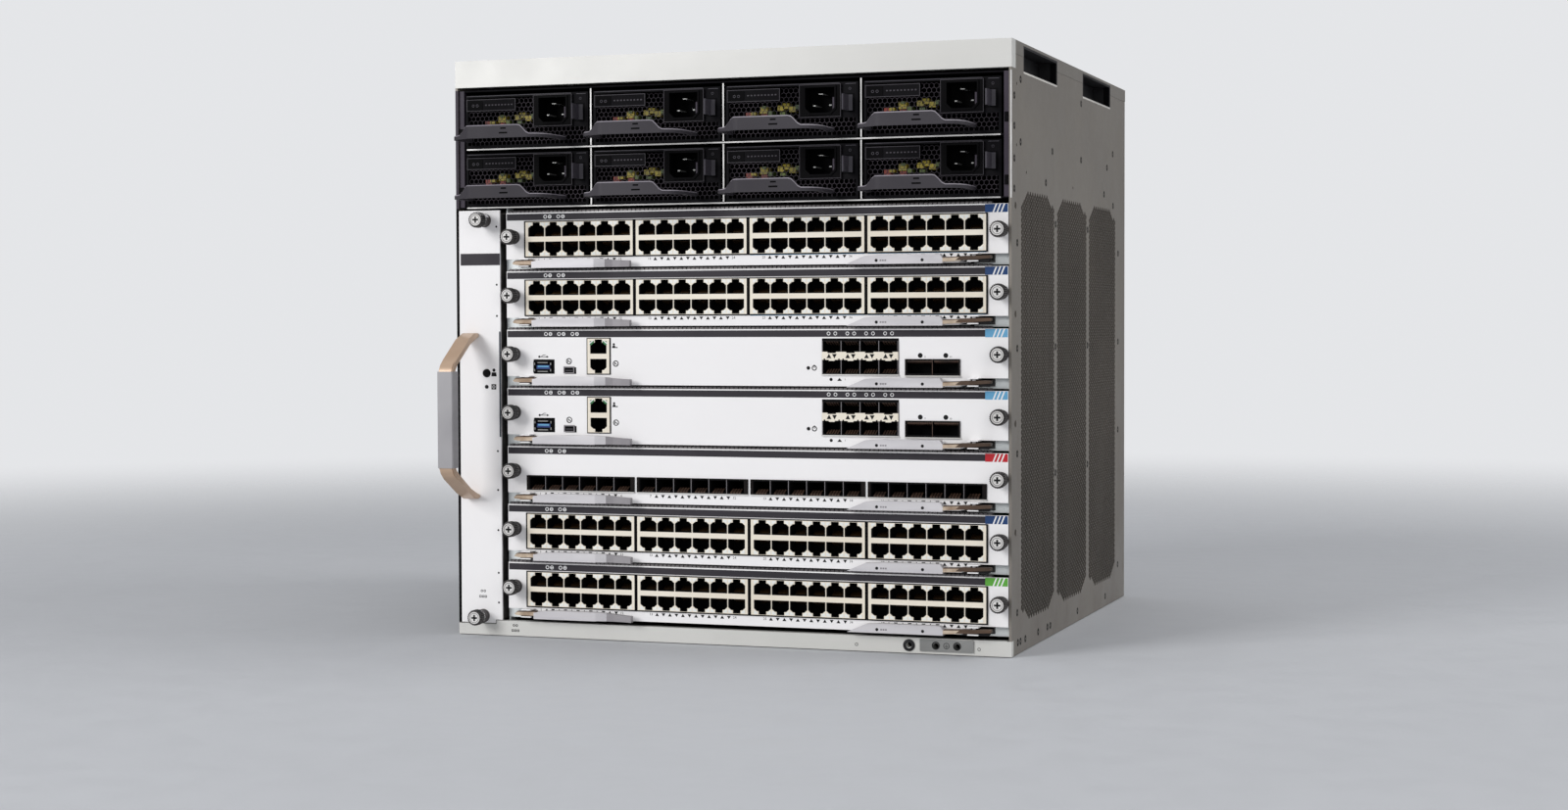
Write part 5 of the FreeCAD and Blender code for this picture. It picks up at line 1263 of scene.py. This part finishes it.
# Power supplies: case, honeycomb face, inlet block, lamp window and bent handle.
supply = {"width": 102.6, "height": 40.6, "reach": 366.0, "across": 3.7, "hole": 3.36,
          "label": (1.4, 42.4, -12.0, -3.4), "lamps": (2.6, 14.6), "inletBlock": (58.0, 90.0),
          "inletDrop": (-1.4, -25.4), "inlet": (61.5, 86.5, -23.5, -2.5), "inletDepth": 15.0,
          "blades": ((73.6, -8.2, 1.6, 0.28), (68.6, -16.7, 0.9, 0.45), (80.9, -16.5, 0.9, 0.45)),
          "glimpses": ((13, -23.5, 5, 4, 6), (17, -21.5, 4, 2, 4), (24, -20.5, 6, 5, 4),
                       (25, -24, 5, 3, 6), (26, -17, 3, 2, 5), (31, -22, 3, 3, 5),
                       (38, -19, 5, 4, 4), (42, -17.5, 5, 4, 4), (40, -22, 4, 2, 5),
                       (47, -20, 5, 4, 4), (52, -18, 3, 3, 5))}
handle = {"path": [(3.0, 0.0), (3.0, 26.0), (5.5, 31.0), (10.0, 34.5), (22.0, 40.6), (72.0, 40.6),
                   (78.0, 38.0), (82.0, 33.0), (84.0, 26.0), (84.0, 0.0)], "low": -36.2,
          "thin": 3.0, "plateau": -26.4, "rise": (11.0, 20.0), "fall": (63.0, 72.0), "strip": 2.6}


def handleTop(u):
    # Height of the strip: thin bar at both ends, with a smooth rise to the grip.
    low = handle["low"] + handle["thin"]
    (riseFrom, riseTo), (fallFrom, fallTo) = handle["rise"], handle["fall"]
    rise = min(max((u - riseFrom) / (riseTo - riseFrom), 0), 1)
    fall = min(max((fallTo - u) / (fallTo - fallFrom), 0), 1)
    share = min(rise, fall)
    return low + (handle["plateau"] - low) * share * share * (3 - 2 * share)


def addHandle(bm):
    path = []
    for (u0, w0), (u1, w1) in zip(handle["path"], handle["path"][1:]):
        count = max(1, int(math.hypot(u1 - u0, w1 - w0) / 2.5))
        path += [Vector((u0 + (u1 - u0) * step / count, w0 + (w1 - w0) * step / count))
                 for step in range(count)]
    path.append(Vector(handle["path"][-1]))
    rings = []
    for index, point in enumerate(path):
        before, after = path[max(index - 1, 0)], path[min(index + 1, len(path) - 1)]
        along = (after - before).normalized()
        across = Vector((along.y, -along.x))
        inner, edge = point + across * handle["strip"], across * 0.5
        top, low = handleTop(point.x), handle["low"]
        rings.append([bm.verts.new(spot) for spot in (
            (point.x, low, point.y), (point.x, top - 0.7, point.y),
            (point.x + edge.x, top, point.y + edge.y), (inner.x, top, inner.y),
            (inner.x, low, inner.y))])
    # The narrow face along the strip's top edge takes a painted highlight.
    bridge(bm, rings, lambda row, corner: 1 if corner == 1 else 0, turned=True)
    bm.faces.new(rings[0])
    bm.faces.new(rings[-1][::-1])


def buildSupplyCase():
    # Finishes: 0 case, 1 plastic, 2 metal, 3 grille, 4 yellow, 5 green, 6 red, 7 dark, 8 line,
    # 9 grey, 10 jamb.
    bm = bmesh.new()
    width, height, reach = supply["width"], supply["height"], supply["reach"]
    for u0, u1, v0, v1, w0, w1, finish in (
            (0, 1.0, -height, 0, -reach, 0, 0), (width - 1.0, width, -height, 0, -reach, 0, 0),
            (1.0, width - 1.0, -1.0, 0, -reach, 0, 0),
            (1.0, width - 1.0, -height, -height + 1.0, -reach, 0, 0),
            (1.0, width - 1.0, -height + 1.0, -1.0, -reach, -reach + 1.2, 0),
            (1.0, width - 1.0, -height + 1.0, -1.0, -60.0, -58.0, 7)):
        addBox(bm, u0, u1, v0, v1, w0, w1, finish)
    addPlate(bm, [rectangle(0, width, -height, 0), rectangle(2.0, width - 2.0, -height + 2.2,
                                                             -2.0)], -0.9, 0.15)
    # Parts seen through the face: coils, capacitors, heat sinks, circuit board.
    for u, v, across, high, tone in supply["glimpses"]:
        addBox(bm, u, u + across, v, v + high, -16, -5.5 - across / 3, tone)
    # Lamp window frame and its lamps.
    u0, u1, v0, v1 = supply["label"]
    addBox(bm, u0, u1, v0, v1, 0.15, 0.9, 0)
    addPlate(bm, [rectangle(u0 - 0.2, u1 + 0.2, v0 - 0.2, v1 + 0.2),
                  rectangle(u0 + 0.25, u1 - 0.25, v0 + 0.25, v1 - 0.25)], 0.9, 1.1, 8)
    lampLeft, lampRight = supply["lamps"]
    addBox(bm, lampLeft, lampRight, v0 + 0.9, v1 - 0.9, 0.9, 1.25, 1)
    for step in range(2):
        addRing(bm, lampLeft + 4.4 + 3.4 * step, (v0 + v1) / 2 - 0.3, 1.1, 0.7, 12, 1.25, 1.35, 9)
    for step in range(9):
        addBox(bm, lampRight + 2.4 + 2.7 * step, lampRight + 3.8 + 2.7 * step, (v0 + v1) / 2 - 0.5,
               (v0 + v1) / 2 + 0.5, 0.9, 1.0, 8)
    addBox(bm, 1.0, width - 14.0, -0.9, -0.4, 0.15, 0.3, 9)
    # Inlet block with its mouth and three blades.
    u0, u1 = supply["inletBlock"]
    v1, v0 = supply["inletDrop"]
    a, b, c, d = supply["inlet"]
    cut = 4.2
    mouth = [(a, c + cut), (a + cut, c), (b - cut, c), (b, c + cut), (b, d), (a, d)]
    addPlate(bm, [rectangle(u0, u1, v0, v1), mouth], -supply["inletDepth"], 2.2, 1)
    addPlate(bm, [rectangle(u0 + 0.5, u1 - 0.5, v0 + 0.5, v1 - 0.5)], -supply["inletDepth"] - 1.2,
             -supply["inletDepth"], 1)
    addPlate(bm, [mouth, [((p - (a + b) / 2) * 0.9 + (a + b) / 2,
                           (q - (c + d) / 2) * 0.88 + (c + d) / 2) for p, q in mouth]], 2.2, 3.0,
             1)
    for u, v, halfWide, halfHigh in supply["blades"]:
        addPad(bm, u, v, halfWide, halfHigh, -supply["inletDepth"], -1.5, 2)
    addBox(bm, b - 3.0, b + 0.2, -20.6, -11.0, 0.8, 1.6, 10)
    addRim(bm, u0, u1, v0, v1, 0.35, 2.2, 2.3, 8)
    # Solid panel right of the inlet, with the latch's slot.
    addBox(bm, u1, width - 1.0, -height + 14.5, -1.0, -0.4, 0.4, 0)
    addBox(bm, u1 + 1.0, width - 2.4, -22.2, -8.6, 0.4, 0.55, 7)
    addBox(bm, u1 + 3.0, width - 1.6, -1.7, -1.2, 0.4, 0.6, 9)
    addRing(bm, u1 + 6.4, -5.0, 1.0, 0.7, 12, 0.4, 0.5, 9)
    return bm


combMeshSupply = copiesOf(
    combCell(supply["across"], supply["hole"], 0.4),
    {"Columns": 11, "Rows": 26, "Column Pitch": supply["across"] * 1.5 / math.sqrt(3),
     "Row Pitch": supply["across"], "Odd Shift": supply["across"] / 2}, "supplyGrille", merge=True)
combMeshSupply.transform(Matrix.Translation((supply["width"] - 3.6, -supply["height"] + 3.4, -0.1))
                         @ Matrix.Rotation(math.radians(90), 4, "Z"))
trimmed = bmesh.new()
trimmed.from_mesh(combMeshSupply)
hidden = [face for face in trimmed.faces if any(
    u0 < face.calc_center_median().x < u1 and v0 < face.calc_center_median().y < v1
    for u0, u1, v0, v1 in ((supply["inletBlock"][0] + 0.6, supply["width"], -24.4, 0),
                           (4.0, 44.0, -9.4, 0)))]
bmesh.ops.delete(trimmed, geom=hidden, context="FACES")
trimmed.to_mesh(combMeshSupply)
trimmed.free()
caseMesh = toMesh(buildSupplyCase(), "supplyCase")
handleParts = bmesh.new()
addHandle(handleParts)
bmesh.ops.recalc_face_normals(handleParts, faces=handleParts.faces)
for high, half in ((-29.2, 2.2), (-32.6, 3.4)):
    addPad(handleParts, 51.0, high, half, 0.6, 40.55, 40.68, 2)
handleMesh = toMesh(handleParts, "supplyHandle")
for body in supplies:
    low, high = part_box(body)
    origin = (low.x * 1000, frontPlane + 2.0, high.z * 1000)
    case = finishPiece(body + "_case", caseMesh, origin, body,
                       ["supplyCase", "supplyPlastic", "plugMetal", "supplyGrille", "partYellow",
                        "partGreen", "partRed", "fanDark", "supplyLine", "latchGrey", "jambGrey"])
    finishPiece(body + "_honeycomb", combMeshSupply, origin, body, ["supplyGrille"])
    finishPiece(body + "_handle", handleMesh, origin, body,
                ["handleGrey", "handleEdgeHighlight", "supplyPlastic"], smooth=35)
    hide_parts(body)
print("power supplies built")


# Jambs and shelf edges round the supplies, and thin faces over the bezels.
bay = {"pitch": 107.0, "low": 330.4, "row": 44.8}
bayLow, bayHigh = (corner.z * 1000 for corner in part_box("power_bay_frame"))
jambs = bmesh.new()
for u0, u1 in ((2.2, 6.6), (433.4, 437.2)):
    addBox(jambs, u0, u1, bayLow + 1, bayHigh - 0.4, -6.0, -1.6, 0)
    for row in range(2):
        v = bay["low"] + 8 + bay["row"] * row
        addBox(jambs, u0 + 0.6, u1 - 0.6, v, v + 7, -1.6, -0.9, 1)
addBox(jambs, -0.02, 2.2, bayLow, bayHigh, -0.5, 0.04, 0)
addBox(jambs, -0.02, 2.1, 9.0, bayLow, -0.5, 0.04, 1)
caps = bmesh.new()
capLow, capHigh, capThick = chassisTop - 20.4, chassisTop - 0.2, 0.045
for u0, u1, high in ((-0.02, 2.8, 8.5), (wide - 2.8, wide + 0.02, 11.2)):
    addBox(caps, u0, u1, capLow, capHigh, -12.0, 0)
    addBox(caps, u0, u1, 0.1, high, -6.0, 0)
for low, high in ((capLow, capHigh), (0.1, 1.7)):
    addBox(caps, -0.02, wide + 0.02, low, high, 0.0, capThick)
for u0, u1, high in ((-0.02, 3.6, 8.5), (wide - 3.6, wide + 0.02, 11.2)):
    addBox(caps, u0, u1, 1.7, high, 0.0, capThick)
finishPiece("bezel_faces", caps, frontFoot, "chassis", ["bezelSatin"])
edges = bmesh.new()
for column in range(1, 4):
    u = wide / 2 + bay["pitch"] * (column - 2)
    for row in range(2):
        low = bayLow + 1.2 + bay["row"] * row
        addBox(edges, u - 0.55, u + 0.55, low + 0.4, low + 43.2, -2.0, -1.9)
for v in (bayLow, bayLow + bay["row"]):
    addBox(edges, 8.6, wide - 8.6, v + 0.1, v + 1.1, -2.0, -1.9)
finishPiece("power_bay_edges", edges, frontFoot, "chassis", ["bayEdge"])
addBox(jambs, wide - 1.0, wide + 0.03, bayLow, bayHigh, -0.5, 0.04, 2)
finishPiece("power_bay_jambs", jambs, frontFoot, "chassis",
            ["jambGrey", "jackBlack", "bayEdge"])


# Fan tray: thumbscrews, label band, slot bar, icons and the bow handle.
fanFace = {"left": 2.3, "right": 37.0, "screws": ((24.3, 122.6), (20.9, 427.6)),
           "band": (148.0, 157.0), "slotBar": (35.9, 208.0, 289.0),
           "smallHoles": (127.5, 172.0, 196.0, 300.0, 330.0, 361.0, 394.0, 417.0)}
fan = bmesh.new()
for u, drop in fanFace["screws"]:
    addCaptive(fan, u, -drop, captive["fanOut"])
finishPiece("fan_tray_thumbscrews", fan, frontTop, "fan_tray",
            ["screwBright", "screwRib", "markDark"], smooth=30)
fan = bmesh.new()
addBox(fan, fanFace["left"] + 1.2, fanFace["right"] - 0.2, -fanFace["band"][1],
       -fanFace["band"][0], 0, 0.15, 0)
u, low, high = fanFace["slotBar"][0], -fanFace["slotBar"][2], -fanFace["slotBar"][1]
addBox(fan, u, u + 1.1, low, high, 0, 0.5, 1)
for drop in fanFace["smallHoles"]:
    addDisc(fan, 34.0, -drop, 0.8, 12, 0, 0.06, 2)
addRing(fan, 25.0, -240.0, 3.1, 1.9, 20, 0, 0.5, 2)
addTurned(fan, 25.0, -250.5, [(1.5, 0), (1.5, 0.3), (1.0, 0.6), (0, 0.65)], 14, 2)
addPrism(fan, [(29.0, -242.4), (33.4, -242.4), (33.0, -239.4), (29.4, -239.4)], *ink, 2)
addDisc(fan, 31.2, -237.7, 1.25, 14, *ink, 2)
addBox(fan, 29.0, 33.0, -252.5, -248.5, *ink, 2)
addRing(fan, 31.0, -250.5, 1.2, 0.8, 14, 0.08, 0.12, 3)
addIcons(fan, (19.6, 22.0), -408.4, (18.3, 20.6, 22.9), -413.6, *ink, 2)
finishPiece("fan_tray_marks", fan, frontTop, "fan_tray",
            ["stripCharcoal", "slotBlue", "markDark", "markWhite"])

bow = {"outer": [(-209.2, 0.0), (-209.2, 7.0), (-214.0, 17.0), (-229.0, 38.0), (-233.0, 43.6),
                 (-238.5, 46.6), (-310.5, 46.6), (-316.0, 43.6), (-320.0, 38.0), (-332.0, 17.0),
                 (-336.8, 7.0), (-336.8, 0.0)],
       "inner": [(-212.6, 0.0), (-212.8, 5.5), (-217.4, 15.0), (-232.6, 36.4), (-236.0, 40.4),
                 (-240.0, 42.4), (-309.0, 42.4), (-313.0, 40.4), (-316.4, 36.4), (-328.6, 15.0),
                 (-333.2, 5.5), (-333.4, 0.0)],
       "grip": (-311.0, -238.0), "gripOut": (36.9, 46.98), "left": 7.2, "right": 18.8}
handlePiece = bmesh.new()
addPrism(handlePiece, bow["outer"] + bow["inner"][::-1], bow["left"], bow["right"], 0, "u")
bmesh.ops.bevel(handlePiece, geom=[edge for edge in handlePiece.edges], offset=0.7, segments=2,
                affect="EDGES")
low, high = bow["gripOut"]
left, right = bow["left"] - 0.65, bow["right"] + 0.65
turned = [(left + 0.7, low), (right - 0.7, low), (right, low + 0.7), (right, high - 0.7),
          (right - 0.7, high), (left + 0.7, high), (left, high - 0.7), (left, low + 0.7)]
# The grip's outline lies across v, in the order w, u.
addPrism(handlePiece, [(w, u) for u, w in turned], bow["grip"][0], bow["grip"][1], 1, "v")
bowHandle = finishPiece("fan_tray_bow_handle", handlePiece, frontTop, "fan_tray",
                        ["handleCopper", "gripPale"], smooth=35)
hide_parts("fan_tray_handle")
print("fan tray built")


# Bottom bezel: strap jack, ground pad marks and small icons.
bezel = {"jackFromRight": 76.4, "jackHigh": 5.8, "padFromRight": 48.0, "hole": 15.9}
jack = bmesh.new()
u = wide - bezel["jackFromRight"]
addTurned(jack, u, bezel["jackHigh"], [(4.4, 0), (4.4, 0.7), (3.8, 1.1), (2.3, 1.1), (2.3, -6),
                                       (0, -6)], 20, 0)
finishPiece("strap_jack", jack, frontFoot, "chassis", ["cupDark"], smooth=35)
marks = bmesh.new()
pad = wide - bezel["padFromRight"]
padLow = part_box("ground_pad")[0]
padFace = round(frontPlane - padLow.y * 1000, 3)
onPad = (padFace, padFace + 0.1)
for step in (-1, 1):
    addRing(marks, pad + step * bezel["hole"] / 2, bezel["jackHigh"] + 0.6, 3.0, 2.2, 16, *onPad)
addRing(marks, pad, 6.4, 2.3, 1.9, 16, *onPad)
for row, half in enumerate((1.3, 0.9, 0.5)):
    addBox(marks, pad - half, pad + half, 6.2 - 0.6 * row, 6.45 - 0.6 * row, *onPad)
addBox(marks, pad - 0.12, pad + 0.12, 6.4, 7.9, *onPad)
for left in (u - 40.0, pad + 24.0):
    addRing(marks, left, 4.8, 1.2, 0.85, 12, 0, 0.1)
addIcons(marks, (46.6, 49.0), 8.1, (45.6, 47.9, 50.2), 3.2, 0, 0.1)
finishPiece("bottom_bezel_marks", marks, frontFoot, "chassis", ["markDark"])

print("all pieces built")
